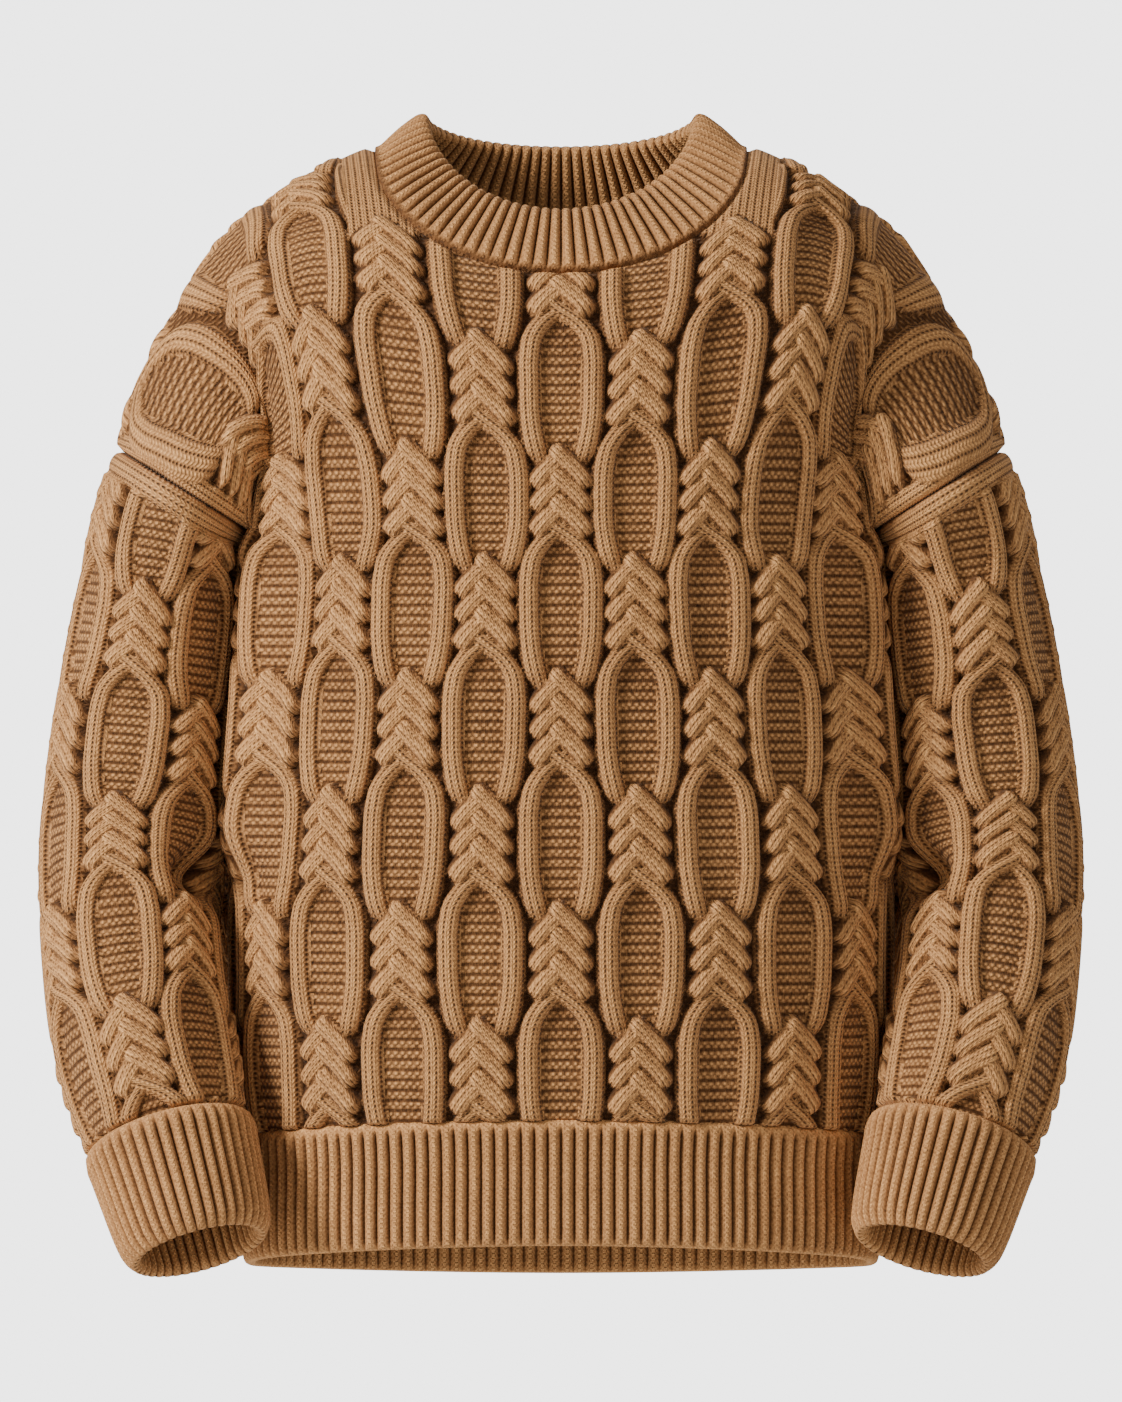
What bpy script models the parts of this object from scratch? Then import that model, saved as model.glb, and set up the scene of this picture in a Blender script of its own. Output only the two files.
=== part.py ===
"""Cable knit sweater, hollow and open at neck, hem and cuffs, filled out as if worn.

Metres, +Z up, +X to the left of the wearer, the front facing -Y. The origin is the middle of the
line between the two ends of the shoulder seams at the neck, where the garment hangs on its wearer.

Each piece is one closed wall: a plain inner skin, and an outer skin that carries the cables or ribs.
The two panels and the sleeves are functions of two numbers, the cable column n, counted from the
middle of the piece, and the height v above the rib. Their outer skins are triangulated over
the lines of the cables, so that each crest and each eye is an edge of the mesh.
"""

import bmesh
import bpy
import numpy as np
from mathutils import Vector
from mathutils.geometry import delaunay_2d_cdt

# Seams and walls
GAP = 0.0003
WALL = 0.004
SEAM_FADE = 0.008

# Cables: one repeat is an eye of two strands, and below it three nested chevrons
PITCH = 0.047
NARROWEST = 0.92
WIDEST = 2.2
WIDEST_SLEEVE = 1.4
REPEAT = 0.139
EYE_LENGTH = 0.090
CHEVRON_STEP = 0.0165
CHEVRONS = 3
CHEVRON_REACH = 0.0205
CHEVRON_HEIGHT = 0.0070
CHEVRON_VALLEY = 0.0028
STRAND_HALF_WIDTH = 0.0082
STRAND_HEIGHT = 0.0068
EYE_FLOOR = 0.0018
LOWEST_APEX = 0.079

# Where the mesh takes points along a strand's crest, an eye's floor and a chevron's arm
CREST_STEPS = np.array((0.011, 0.028, 0.050, 0.072, 0.088))
FLOOR_STEPS = np.array((0.036, 0.064))
CREST_ARM = 0.70
FLOOR_TOP = 0.013
FLOOR_LOW = 0.082
REPEATS_UP = 5
ROUND_FROM = 0.6

# The groove between two columns leans away from the eye beside it
GROOVE_PATH = np.array(
    [
        # below_tip, lean
        (0.006, 0.0000),
        (0.026, 0.0042),
        (0.058, 0.0042),
        (0.077, 0.0000),
        (0.096, -0.0042),
        (0.127, -0.0042),
    ]
)

# Half the spacing of an eye's two strands, by the distance below its tip
STRAND_PATH = np.array(
    [
        # below_tip, half_spacing
        (0.000, 0.0000),
        (0.012, 0.0130),
        (0.025, 0.0185),
        (0.048, 0.0200),
        (0.072, 0.0172),
        (0.090, 0.0110),
    ]
)

# Body: sections of the wall's outer ground, without the cables. The typical section sets how the
# columns are shared out round the squared ellipse at every height.
COLUMNS_EACH_SIDE = 5.5
LAST_COLUMN = 5
SQUARENESS = 2.4
TYPICAL_HALF_WIDTH = 0.190
TYPICAL_FRONT_DEPTH = 0.120
TYPICAL_BACK_DEPTH = 0.110
HEM_SEAM_Z = -0.586
HEM_SEAM_DROP_SIDE = 0.016
HEM_SEAM_DROP_BACK = 0.027
UNDERARM_Z = -0.232
ARCH_RADIUS = 0.009
ARCH_FROM_COLUMN = 4.8
ARCH_SHARES = np.array((1.0, 0.5, 0.15))
SECTIONS = np.array(
    [
        # z, half_width, front_depth, back_depth
        (-0.700, 0.1890, 0.1150, 0.1030),
        (-0.650, 0.1900, 0.1170, 0.1045),
        (-0.602, 0.1900, 0.1185, 0.1060),
        (-0.578, 0.1930, 0.1200, 0.1080),
        (-0.517, 0.1955, 0.1215, 0.1100),
        (-0.456, 0.1960, 0.1220, 0.1110),
        (-0.395, 0.1915, 0.1215, 0.1110),
        (-0.334, 0.1870, 0.1205, 0.1110),
        (-0.273, 0.1825, 0.1195, 0.1110),
        (-0.232, 0.1800, 0.1185, 0.1110),
        (-0.190, 0.1790, 0.1170, 0.1100),
    ]
)

# Above the underarm each cable column runs over a point at chest or arm level to the shoulder line.
# rise is its direction and speed as it leaves the underarm level, over its speed as it crosses
# the shoulder line from front to back, swing its speed at the middle point as a share of the chord.
FRONT_COLUMNS = np.array(
    [
        # column, mid_x, mid_y, mid_z, top_x, top_z, rise_x, rise_y, rise_z, over, swing
        (0.0, 0.000, -0.095, -0.082, 0.000, 0.012, 0.000, -0.004, 0.150, 0.130, 0.50),
        (1.0, 0.051, -0.094, -0.079, 0.057, 0.009, 0.000, -0.004, 0.150, 0.130, 0.50),
        (2.0, 0.103, -0.087, -0.073, 0.113, 0.000, 0.002, -0.002, 0.150, 0.120, 0.50),
        (3.0, 0.151, -0.077, -0.078, 0.156, -0.022, 0.002, 0.002, 0.145, 0.110, 0.50),
        (4.0, 0.178, -0.062, -0.118, 0.205, -0.060, -0.004, -0.004, 0.110, 0.100, 0.55),
        (4.5, 0.181, -0.050, -0.146, 0.230, -0.097, -0.004, -0.012, 0.085, 0.095, 0.60),
        (5.0, 0.200, -0.064, -0.168, 0.252, -0.141, 0.005, -0.060, 0.055, 0.100, 0.65),
        (5.5, 0.227, -0.074, -0.208, 0.267, -0.183, 0.000, -0.110, 0.000, 0.115, 0.80),
    ]
)
BACK_COLUMNS = np.array(
    [
        # column, mid_x, mid_y, mid_z, top_x, top_z, rise_x, rise_y, rise_z, over, swing
        (0.0, 0.000, 0.101, -0.095, 0.000, 0.012, 0.000, 0.004, 0.140, -0.130, 0.50),
        (1.0, 0.051, 0.099, -0.092, 0.057, 0.009, 0.000, 0.004, 0.140, -0.130, 0.50),
        (2.0, 0.103, 0.091, -0.083, 0.113, 0.000, 0.002, 0.002, 0.145, -0.120, 0.50),
        (3.0, 0.151, 0.077, -0.084, 0.156, -0.022, 0.002, -0.002, 0.140, -0.110, 0.50),
        (4.0, 0.180, 0.061, -0.118, 0.205, -0.060, -0.002, 0.004, 0.110, -0.100, 0.55),
        (4.5, 0.185, 0.053, -0.146, 0.230, -0.097, -0.002, 0.012, 0.085, -0.095, 0.60),
        (5.0, 0.201, 0.064, -0.168, 0.252, -0.141, 0.005, 0.060, 0.055, -0.100, 0.65),
        (5.5, 0.227, 0.074, -0.208, 0.267, -0.183, 0.000, 0.110, 0.000, -0.115, 0.80),
    ]
)

# Neck: the cut is half an ellipse seen from the front, and at the back one seen from above
NECK_HALF_WIDTH = 0.113
NECK_FRONT_DROP = 0.078
NECK_BACK = 0.075
NECK_COLUMN = 2.0
BAND_HALF_WIDTH = 0.080
BAND_FRONT = 0.070
BAND_BACK = 0.055
BAND_SIDE_Z = 0.0207
BAND_SLOPE_FRONT = 0.80
BAND_SLOPE_BACK = -0.25
BAND_TURN = 0.3
NECK_RIBS = 80
BAND_PROFILE = np.array(
    [
        # along, out, rib, where along runs from seam to crest as a share and out is a height
        (0.00, 0.0030, 0.0),
        (0.14, 0.0052, 1.0),
        (0.60, 0.0062, 1.0),
        (0.95, 0.0038, 1.0),
        (1.03, -0.0005, 0.0),
        (0.93, -0.0035, 0.0),
        (0.45, -0.0040, 0.0),
        (0.00, -0.0040, 0.0),
    ]
)

# Hem band
HEM_RIBS = 128
HEM_LOW_Z = -0.661
HEM_LOW_DROP_SIDE = 0.018
HEM_LOW_DROP_BACK = 0.029
HEM_PROFILE = np.array(
    [
        # down, out, rib, where down runs from the seam to the lower edge and out from the ground
        (0.00, 0.0035, 1.0),
        (0.96, 0.0030, 1.0),
        (1.00, -0.0008, 0.0),
        (0.97, -0.0040, 0.0),
        (0.00, -0.0040, 0.0),
    ]
)

# Sleeves: rings round a bent axis, given for the sleeve on the -X side, without the cables
SLEEVE_COLUMNS_EACH_SIDE = 3.5
SLEEVE_LAST_COLUMN = 3
SLEEVE_MIDDLE_DEG = -60.0
SLEEVE_RINGS = np.array(
    [
        # x, y, z, half_width, half_depth
        (-0.2355, -0.080, -0.600, 0.0435, 0.0435),
        (-0.2505, -0.060, -0.548, 0.0480, 0.0485),
        (-0.2595, -0.034, -0.487, 0.0487, 0.0520),
        (-0.2610, -0.011, -0.426, 0.0500, 0.0550),
        (-0.2560, -0.001, -0.365, 0.0492, 0.0580),
        (-0.2490, 0.003, -0.304, 0.0462, 0.0600),
        (-0.2430, 0.003, -0.262, 0.0435, 0.0615),
    ]
)
# The sleeve leaves the armhole in these directions, by the place round it
ARMHOLE_LEAVING = np.array(
    [
        # round, x, z, speed, where round runs from 0 at the underarm to 1 at the shoulder
        (0.0, -1.00, 0.00, 0.025),
        (0.5, -0.53, -0.85, 0.060),
        (1.0, -0.33, -0.94, 0.080),
    ]
)
ARMHOLE_STEPS = 12
SLEEVE_LOWEST_APEX = 0.077
ELBOW_HEIGHT = 0.160
ELBOW_COLUMN = 2.05
ELBOW_DEPTH = 0.013
ELBOW_HALF_LENGTH = 0.024
ELBOW_HALF_COLUMNS = 0.42

# Cuffs: turned back over the sleeve's end
CUFF_RIBS = 40
CUFF_TAPER = 0.055
CUFF_COVER = 0.020
CUFF_PROFILE = np.array(
    [
        # along, out, rib, where along runs down from the sleeve's end and out from its ground
        (0.0003, -0.0040, 0.0),
        (0.0003, 0.0010, 0.0),
        (-0.0160, 0.0012, 0.0),
        (-0.0195, 0.0045, 0.0),
        (-0.0150, 0.0075, 1.0),
        (0.0280, 0.0070, 1.0),
        (0.0650, 0.0046, 1.0),
        (0.0710, 0.0005, 0.0),
        (0.0660, -0.0040, 0.0),
    ]
)

RIB_HALF_HEIGHT = 0.0013

# How far the mesh's inner points keep from a piece's outline, on the cables and on the plain side
FEATURE_MARGIN = 0.0045
LATTICE_MARGIN = 0.010

# Points along each stretch of the outlines
HEM_POINTS = 45
SIDE_POINTS = 24
SHOULDER_POINTS = 18
NECK_POINTS = 21
SLEEVE_END_POINTS = 29
SLEEVE_SIDE_POINTS = 21

# Spacing of the plain inner skins' points, up a panel below and above the underarm, and up a sleeve
LOW_SPACING = 0.045
HIGH_SPACING = 0.028
SLEEVE_SPACING = 0.035
LATTICE_START = 0.030
HIGH_START = 0.012
HIGH_END = 0.300
SLEEVE_END = 0.450

# Fine points of a ribbed loop for each point of the plain loop it meets
FANNING = 4

# Steps of the curves that are measured, and of the small differences that give their directions
QUARTER_STEPS = 400
LENGTH_COLUMNS = 89
LENGTH_STEPS = 41
NECK_STEPS = 241
TURN_STEP = 0.01
COLUMN_STEP = 0.02
HEIGHT_STEP = 0.0010
PITCH_STEP = 0.1
STRAND_STEP = 0.002
AXIS_STEP = 0.004
ON_EDGE = 1e-6

WOOL = (0.48, 0.26, 0.13, 1.0)
WOOL_ROUGHNESS = 0.9

MIRROR_X = np.array((-1.0, 1.0, 1.0))


def hermite(t, start, end, start_speed, end_speed):
    """Returns the cubic that leaves start with one speed and reaches end with another."""
    t2 = t * t
    t3 = t2 * t
    return (
        (2 * t3 - 3 * t2 + 1) * start
        + (3 * t2 - 2 * t3) * end
        + (t3 - 2 * t2 + t) * start_speed
        + (t3 - t2) * end_speed
    )


def smooth(table_x, table_y, x):
    """Returns table_y read at x along a smooth curve through all its rows, held at both ends."""
    x = np.clip(np.asarray(x, float), table_x[0], table_x[-1])
    slopes = np.gradient(table_y, table_x, axis=0)
    row = np.clip(np.searchsorted(table_x, x, side="right") - 1, 0, len(table_x) - 2)
    step = table_x[row + 1] - table_x[row]
    t = (x - table_x[row]) / step
    if table_y.ndim > 1:
        t = t[..., None]
        step = step[..., None]
    return hermite(t, table_y[row], table_y[row + 1], slopes[row] * step, slopes[row + 1] * step)


def ramp(x):
    """Returns 0 below 0, 1 above 1 and a smooth rise between."""
    x = np.clip(x, 0.0, 1.0)
    return x * x * (3.0 - 2.0 * x)


def unit(vectors):
    """Returns each vector at length 1."""
    return vectors / np.maximum(np.linalg.norm(vectors, axis=-1, keepdims=True), 1e-12)


# ---------------------------------------------------------------- cables


def cable(across, below):
    """Returns a cable's height over the ground, across from its middle and below its eye's tip."""
    across = np.abs(across)
    below = np.mod(below, REPEAT)
    arms = below - across
    last_valley = EYE_LENGTH + (CHEVRONS - 0.5) * CHEVRON_STEP
    below = np.where(arms > last_valley, below - REPEAT, below)
    spacing = np.where(below < 0.0, below, smooth(STRAND_PATH[:, 0], STRAND_PATH[:, 1], below))
    ahead = smooth(STRAND_PATH[:, 0], STRAND_PATH[:, 1], below + STRAND_STEP)
    slope = np.where(below < 0.0, 1.0, (ahead - spacing) / STRAND_STEP)
    off = (across - spacing) / np.sqrt(1.0 + slope * slope) / STRAND_HALF_WIDTH
    strand = STRAND_HEIGHT * np.sqrt(np.clip(1.0 - off * off, 0.0, 1.0))
    inside = (across < spacing) & (below > 0.0)
    eye = np.where(inside, np.maximum(strand, EYE_FLOOR), strand)
    turns = (arms - EYE_LENGTH) / CHEVRON_STEP
    swing = 0.5 + 0.5 * np.cos(2.0 * np.pi * turns)
    chevron = CHEVRON_VALLEY + (CHEVRON_HEIGHT - CHEVRON_VALLEY) * swing
    past = across - ROUND_FROM * CHEVRON_REACH
    rounding = np.clip(past / ((1.0 - ROUND_FROM) * CHEVRON_REACH), 0.0, 1.0)
    chevron = chevron * np.sqrt(1.0 - rounding * rounding)
    among = (turns >= -0.5) & (turns <= CHEVRONS - 0.5)
    return np.where(among, chevron, eye)


def cables(n, v, pitch, lowest_apex, phase, last_column):
    """Returns the height at column coordinate n and height v, from the two columns beside it."""
    height = np.zeros(np.shape(n))
    for side in (0, 1):
        column = np.clip(np.floor(n) + side, -last_column, last_column)
        apex = lowest_apex + 0.5 * REPEAT * np.mod(column + phase, 2.0)
        height = np.maximum(height, cable((n - column) * pitch, apex - v))
    return height


# ---------------------------------------------------------------- body


def round_section(half_width, depth):
    """Returns angles of the squared ellipse's first quarter, at equal steps of the way round."""
    angle = np.linspace(0.0, 0.5 * np.pi, QUARTER_STEPS)
    x = half_width * np.sin(angle) ** (2.0 / SQUARENESS)
    y = depth * np.clip(np.cos(angle), 0.0, 1.0) ** (2.0 / SQUARENESS)
    way = np.concatenate(((0.0,), np.cumsum(np.hypot(np.diff(x), np.diff(y)))))
    return way / way[-1], angle


FRONT_WAY = round_section(TYPICAL_HALF_WIDTH, TYPICAL_FRONT_DEPTH)
BACK_WAY = round_section(TYPICAL_HALF_WIDTH, TYPICAL_BACK_DEPTH)


def section(n, z, back):
    """Returns points on the body's horizontal section at z, at column coordinate n."""
    half_width, front, rear = np.moveaxis(smooth(SECTIONS[:, 0], SECTIONS[:, 1:], z), -1, 0)
    way, angles = BACK_WAY if back else FRONT_WAY
    angle = np.interp(np.abs(n) / COLUMNS_EACH_SIDE, way, angles)
    curl = np.clip((z - (UNDERARM_Z - ARCH_RADIUS)) / ARCH_RADIUS, 0.0, 1.0)
    past = np.abs(n) - ARCH_FROM_COLUMN
    share = np.clip(past / (COLUMNS_EACH_SIDE - ARCH_FROM_COLUMN), 0.0, 1.0)
    flare = ARCH_RADIUS * (1.0 - np.sqrt(1.0 - curl * curl)) * share * share
    x = np.sign(n) * (half_width * np.sin(angle) ** (2.0 / SQUARENESS) + flare)
    depth = rear if back else -front
    y = depth * np.clip(np.cos(angle), 0.0, 1.0) ** (2.0 / SQUARENESS)
    return np.stack((x, y, np.broadcast_to(z, np.shape(x))), axis=-1)


def upper_body(n, t, back):
    """Returns points above the underarm, t from 0 there to 1 at the shoulder line."""
    table = BACK_COLUMNS if back else FRONT_COLUMNS
    row = smooth(table[:, 0], table[:, 1:], np.abs(n))
    flip = np.where(n < 0.0, -1.0, 1.0)
    side = np.stack((flip, np.ones_like(flip), np.ones_like(flip)), axis=-1)
    start = section(n, np.full(np.shape(n), UNDERARM_Z), back)
    middle = row[..., 0:3] * side
    top = np.stack((row[..., 3] * flip, np.zeros_like(flip), row[..., 4]), axis=-1)
    rise = row[..., 5:8] * side
    over = np.stack((np.zeros_like(flip), row[..., 8], np.zeros_like(flip)), axis=-1)
    swing = (top - start) * row[..., 9:10]
    t = np.asarray(t)[..., None]
    lower = hermite(np.clip(2.0 * t, 0.0, 1.0), start, middle, rise, swing)
    upper = hermite(np.clip(2.0 * t - 1.0, 0.0, 1.0), middle, top, swing, over)
    return np.where(t < 0.5, lower, upper)


UNDERARM_V = UNDERARM_Z - HEM_SEAM_Z


def column_lengths(back):
    """Returns the length of each column above the underarm, on a fine row of columns."""
    columns = np.linspace(-COLUMNS_EACH_SIDE, COLUMNS_EACH_SIDE, LENGTH_COLUMNS)
    n, t = np.meshgrid(columns, np.linspace(0.0, 1.0, LENGTH_STEPS), indexing="ij")
    points = upper_body(n, t, back)
    steps = np.linalg.norm(np.diff(points, axis=1), axis=-1)
    return columns, steps.sum(axis=1)


LENGTHS = {back: column_lengths(back) for back in (False, True)}


def upper_length(n, back):
    """Returns the length of the column at n between the underarm level and the shoulder line."""
    return np.interp(n, *LENGTHS[back])


def hem_v(n, back):
    """Returns the height of the hem seam at n, 0 at the middle of the front."""
    turn = np.abs(n) / COLUMNS_EACH_SIDE
    if back:
        return -HEM_SEAM_DROP_BACK + (HEM_SEAM_DROP_BACK - HEM_SEAM_DROP_SIDE) * turn**2
    return -HEM_SEAM_DROP_SIDE * turn**2


def body(n, v, back):
    """Returns points of the body's ground at column coordinate n and height v."""
    n = np.asarray(n, float)
    v = np.asarray(v, float)
    low = section(n, HEM_SEAM_Z + np.minimum(v, UNDERARM_V), back)
    t = np.clip((v - UNDERARM_V) / upper_length(n, back), 0.0, 1.0)
    return np.where((v <= UNDERARM_V)[..., None], low, upper_body(n, t, back))


def body_normals(n, v, back):
    """Returns the outward directions of the body's ground."""
    low_n = np.maximum(n - COLUMN_STEP, -COLUMNS_EACH_SIDE)
    high_n = np.minimum(n + COLUMN_STEP, COLUMNS_EACH_SIDE)
    across = body(high_n, v, back) - body(low_n, v, back)
    high_v = np.minimum(v + HEIGHT_STEP, UNDERARM_V + upper_length(n, back))
    along = body(n, high_v, back) - body(n, v - HEIGHT_STEP, back)
    turned = np.cross(across, along)
    return unit(-turned if back else turned)


def real_pitch(n, v, back):
    """Returns how far apart the columns lie at n, kept near their knitted pitch."""
    low_n = np.maximum(n - PITCH_STEP, -COLUMNS_EACH_SIDE)
    high_n = np.minimum(n + PITCH_STEP, COLUMNS_EACH_SIDE)
    reach = np.linalg.norm(body(high_n, v, back) - body(low_n, v, back), axis=-1)
    return np.clip(reach / (high_n - low_n), NARROWEST * PITCH, WIDEST * PITCH)


def neck_reach(points, back):
    """Returns how far points lie outside the neck's cut."""
    depth = NECK_BACK if back else NECK_FRONT_DROP
    ratio = np.hypot(points[..., 0] / NECK_HALF_WIDTH, points[..., 1 if back else 2] / depth)
    return (ratio - 1.0) * 0.5 * (NECK_HALF_WIDTH + depth)


def neck_v(n, back):
    """Returns the height at which the column at n meets the neck's cut."""
    t = np.linspace(0.0, 1.0, NECK_STEPS)
    grid_n, grid_t = np.meshgrid(n, t, indexing="ij")
    reach = neck_reach(upper_body(grid_n, grid_t, back), back)
    reach[:, -1] = np.minimum(reach[:, -1], -1e-9)
    crossing = np.argmax(reach < 0.0, axis=1)
    rows = np.arange(len(n))
    before = reach[rows, crossing - 1]
    share = before / (before - reach[rows, crossing])
    met = t[crossing - 1] + share * (t[1] - t[0])
    return UNDERARM_V + met * upper_length(n, back)


def body_relief(n, v, back):
    """Returns the cables' height on the body, lowered towards its seams."""
    pitch = real_pitch(n, v, back)
    height = cables(n, v, pitch, LOWEST_APEX, 1.0 if back else 0.0, LAST_COLUMN)
    points = body(n, v, back)
    to_side = (COLUMNS_EACH_SIDE - np.abs(n)) * pitch
    to_top = UNDERARM_V + upper_length(n, back) - v
    to_neck = neck_reach(points, back)
    to_hem = v - hem_v(n, back)
    near = np.minimum.reduce((to_side, to_top, to_neck, to_hem + 0.5 * SEAM_FADE))
    return height * ramp(near / SEAM_FADE)


# ---------------------------------------------------------------- sleeves


def sleeve_axis():
    """Returns the heights of the sleeve's rings above its lower end, along its axis."""
    steps = np.linalg.norm(np.diff(SLEEVE_RINGS[:, 0:3], axis=0), axis=1)
    return np.concatenate(((0.0,), np.cumsum(steps)))


RING_V = sleeve_axis()
CAP_V = RING_V[-1]


def sleeve_angle(n):
    """Returns the angle round the sleeve of column coordinate n, 0 in front, 90 degrees inside."""
    return np.radians(SLEEVE_MIDDLE_DEG + n * 180.0 / SLEEVE_COLUMNS_EACH_SIDE)


def sleeve_frame(v):
    """Returns the axis point, its upward direction and the two ring directions at height v."""
    centre = smooth(RING_V, SLEEVE_RINGS[:, 0:3], v)
    ahead = smooth(RING_V, SLEEVE_RINGS[:, 0:3], np.minimum(v + AXIS_STEP, CAP_V))
    behind = smooth(RING_V, SLEEVE_RINGS[:, 0:3], np.maximum(v - AXIS_STEP, 0.0))
    up = unit(ahead - behind)
    inward = unit(np.array((1.0, 0.0, 0.0)) - up[..., 0:1] * up)
    forward = np.cross(inward, up)
    return centre, up, inward, forward


def tube(n, v):
    """Returns points of the sleeve below its cap."""
    centre, up, inward, forward = sleeve_frame(v)
    size = smooth(RING_V, SLEEVE_RINGS[:, 3:5], v)
    angle = sleeve_angle(n)
    across = size[..., 0:1] * np.sin(angle)[..., None] * inward
    return centre + across + size[..., 1:2] * np.cos(angle)[..., None] * forward


def armhole(round_share, back):
    """Returns points of the -X armhole seam, its outward and its leaving directions."""
    edge = np.full(np.shape(round_share), -COLUMNS_EACH_SIDE)
    point = upper_body(edge, round_share, back)
    ahead = upper_body(edge, np.minimum(round_share + TURN_STEP, 1.0), back)
    along = ahead - upper_body(edge, np.maximum(round_share - TURN_STEP, 0.0), back)
    row = smooth(ARMHOLE_LEAVING[:, 0], ARMHOLE_LEAVING[:, 1:], round_share)
    leave = np.stack((row[..., 0], np.zeros(np.shape(round_share)), row[..., 1]), axis=-1)
    out = unit(np.cross(along, leave))
    out = -out if back else out
    leave = unit(np.cross(out, along) * (-1.0 if back else 1.0))
    leave = np.where(leave[..., 0:1] > 0.0, -leave, leave)
    return point, out, leave, row[..., 2]


def armhole_at(n):
    """Returns the armhole seam at the sleeve's column coordinate n."""
    turn = np.mod(np.degrees(sleeve_angle(n)) - 90.0, 360.0)
    share = 1.0 - np.abs(turn - 180.0) / 180.0
    behind = (turn < 180.0)[..., None]
    front = armhole(share, False)
    rear = armhole(share, True)
    point, out, leave = (np.where(behind, r, f) for f, r in zip(front[:3], rear[:3]))
    return point, out, leave, front[3]


def cap(n, s):
    """Returns points of the sleeve's cap, s from 0 at its lowest ring to 1 at the armhole."""
    ring = tube(n, np.full(np.shape(n), CAP_V))
    up = sleeve_frame(np.full(np.shape(n), CAP_V))[1]
    point, out, leave, speed = armhole_at(n)
    end = point + leave * GAP
    chord = np.linalg.norm(end - ring, axis=-1, keepdims=True)
    return hermite(np.asarray(s)[..., None], ring, end, up * chord, -leave * speed[..., None])


def cap_lengths():
    """Returns the length of the sleeve's cap on a fine row of columns."""
    columns = np.linspace(-SLEEVE_COLUMNS_EACH_SIDE, SLEEVE_COLUMNS_EACH_SIDE, LENGTH_COLUMNS)
    grid_n, grid_s = np.meshgrid(columns, np.linspace(0.0, 1.0, LENGTH_STEPS), indexing="ij")
    steps = np.linalg.norm(np.diff(cap(grid_n, grid_s), axis=1), axis=-1)
    return columns, steps.sum(axis=1)


CAP_LENGTHS = cap_lengths()


def cap_length(n):
    """Returns the length of the sleeve's cap at column coordinate n, which may run past the seam."""
    edge = SLEEVE_COLUMNS_EACH_SIDE
    return np.interp(np.mod(n + edge, 2.0 * edge) - edge, *CAP_LENGTHS)


def sleeve(n, v):
    """Returns points of the -X sleeve's ground at column coordinate n and height v."""
    n = np.asarray(n, float)
    v = np.asarray(v, float)
    s = np.clip((v - CAP_V) / cap_length(n), 0.0, 1.0)
    return np.where((v <= CAP_V)[..., None], tube(n, np.minimum(v, CAP_V)), cap(n, s))


def sleeve_normals(n, v):
    """Returns the outward directions of the sleeve's ground."""
    across = sleeve(n + COLUMN_STEP, v) - sleeve(n - COLUMN_STEP, v)
    top = CAP_V + cap_length(n)
    along = sleeve(n, np.minimum(v + HEIGHT_STEP, top)) - sleeve(n, np.maximum(v - HEIGHT_STEP, 0.0))
    return unit(np.cross(across, along))


def sleeve_pitch(n, v):
    """Returns how far apart the sleeve's columns lie."""
    chord = np.linalg.norm(sleeve(n + PITCH_STEP, v) - sleeve(n - PITCH_STEP, v), axis=-1)
    reach = chord / (2.0 * PITCH_STEP)
    return np.clip(reach, NARROWEST * PITCH, WIDEST_SLEEVE * PITCH)


def sleeve_relief(n, v):
    """Returns the cables' height on the sleeve, lowered towards its seams and under the cuff."""
    pitch = sleeve_pitch(n, v)
    height = cables(n, v, pitch, SLEEVE_LOWEST_APEX, 0.0, SLEEVE_LAST_COLUMN)
    to_edge = (SLEEVE_COLUMNS_EACH_SIDE - np.abs(n)) * pitch + 0.3 * SEAM_FADE
    near = np.minimum(to_edge, CAP_V + cap_length(n) - v)
    return height * ramp(near / SEAM_FADE) * ramp((v - CUFF_COVER) / (0.5 * SEAM_FADE))


def elbow_dimple(n, v):
    """Returns how far the bend of the elbow pushes the sleeve inwards."""
    along = (v - ELBOW_HEIGHT) / ELBOW_HALF_LENGTH
    across = (n - ELBOW_COLUMN) / ELBOW_HALF_COLUMNS
    return ELBOW_DEPTH * np.exp(-(along**2) - across**2)


# ---------------------------------------------------------------- meshes


def motif_plan():
    """Returns one repeat's points, across from its middle and below its tip, and its edges."""
    rows = []
    lines = []

    def add(across, below):
        rows.append((across, below))
        return len(rows) - 1

    def join(points):
        lines.extend(zip(points[:-1], points[1:]))

    top = add(0.0, 0.0)
    floor_top = add(0.0, FLOOR_TOP)
    floor_low = add(0.0, FLOOR_LOW)
    crests = [add(0.0, EYE_LENGTH + k * CHEVRON_STEP) for k in range(CHEVRONS)]
    valleys = [add(0.0, EYE_LENGTH + (k + 0.5) * CHEVRON_STEP) for k in range(CHEVRONS)]
    for side in (-1.0, 1.0):
        spacing = smooth(STRAND_PATH[:, 0], STRAND_PATH[:, 1], CREST_STEPS)
        join([top] + [add(side * x, below) for x, below in zip(spacing, CREST_STEPS)])
        inner = smooth(STRAND_PATH[:, 0], STRAND_PATH[:, 1], FLOOR_STEPS) - STRAND_HALF_WIDTH
        walls = [add(side * x, below) for x, below in zip(inner, FLOOR_STEPS)]
        join([floor_top] + walls + [floor_low])
        arm = CREST_ARM * CHEVRON_REACH
        for k in range(CHEVRONS):
            join([crests[k], add(side * arm, EYE_LENGTH + k * CHEVRON_STEP + arm)])
        for k in range(CHEVRONS - 1):
            join([valleys[k], add(side * arm, EYE_LENGTH + (k + 0.5) * CHEVRON_STEP + arm)])
    return np.array(rows), lines


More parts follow.
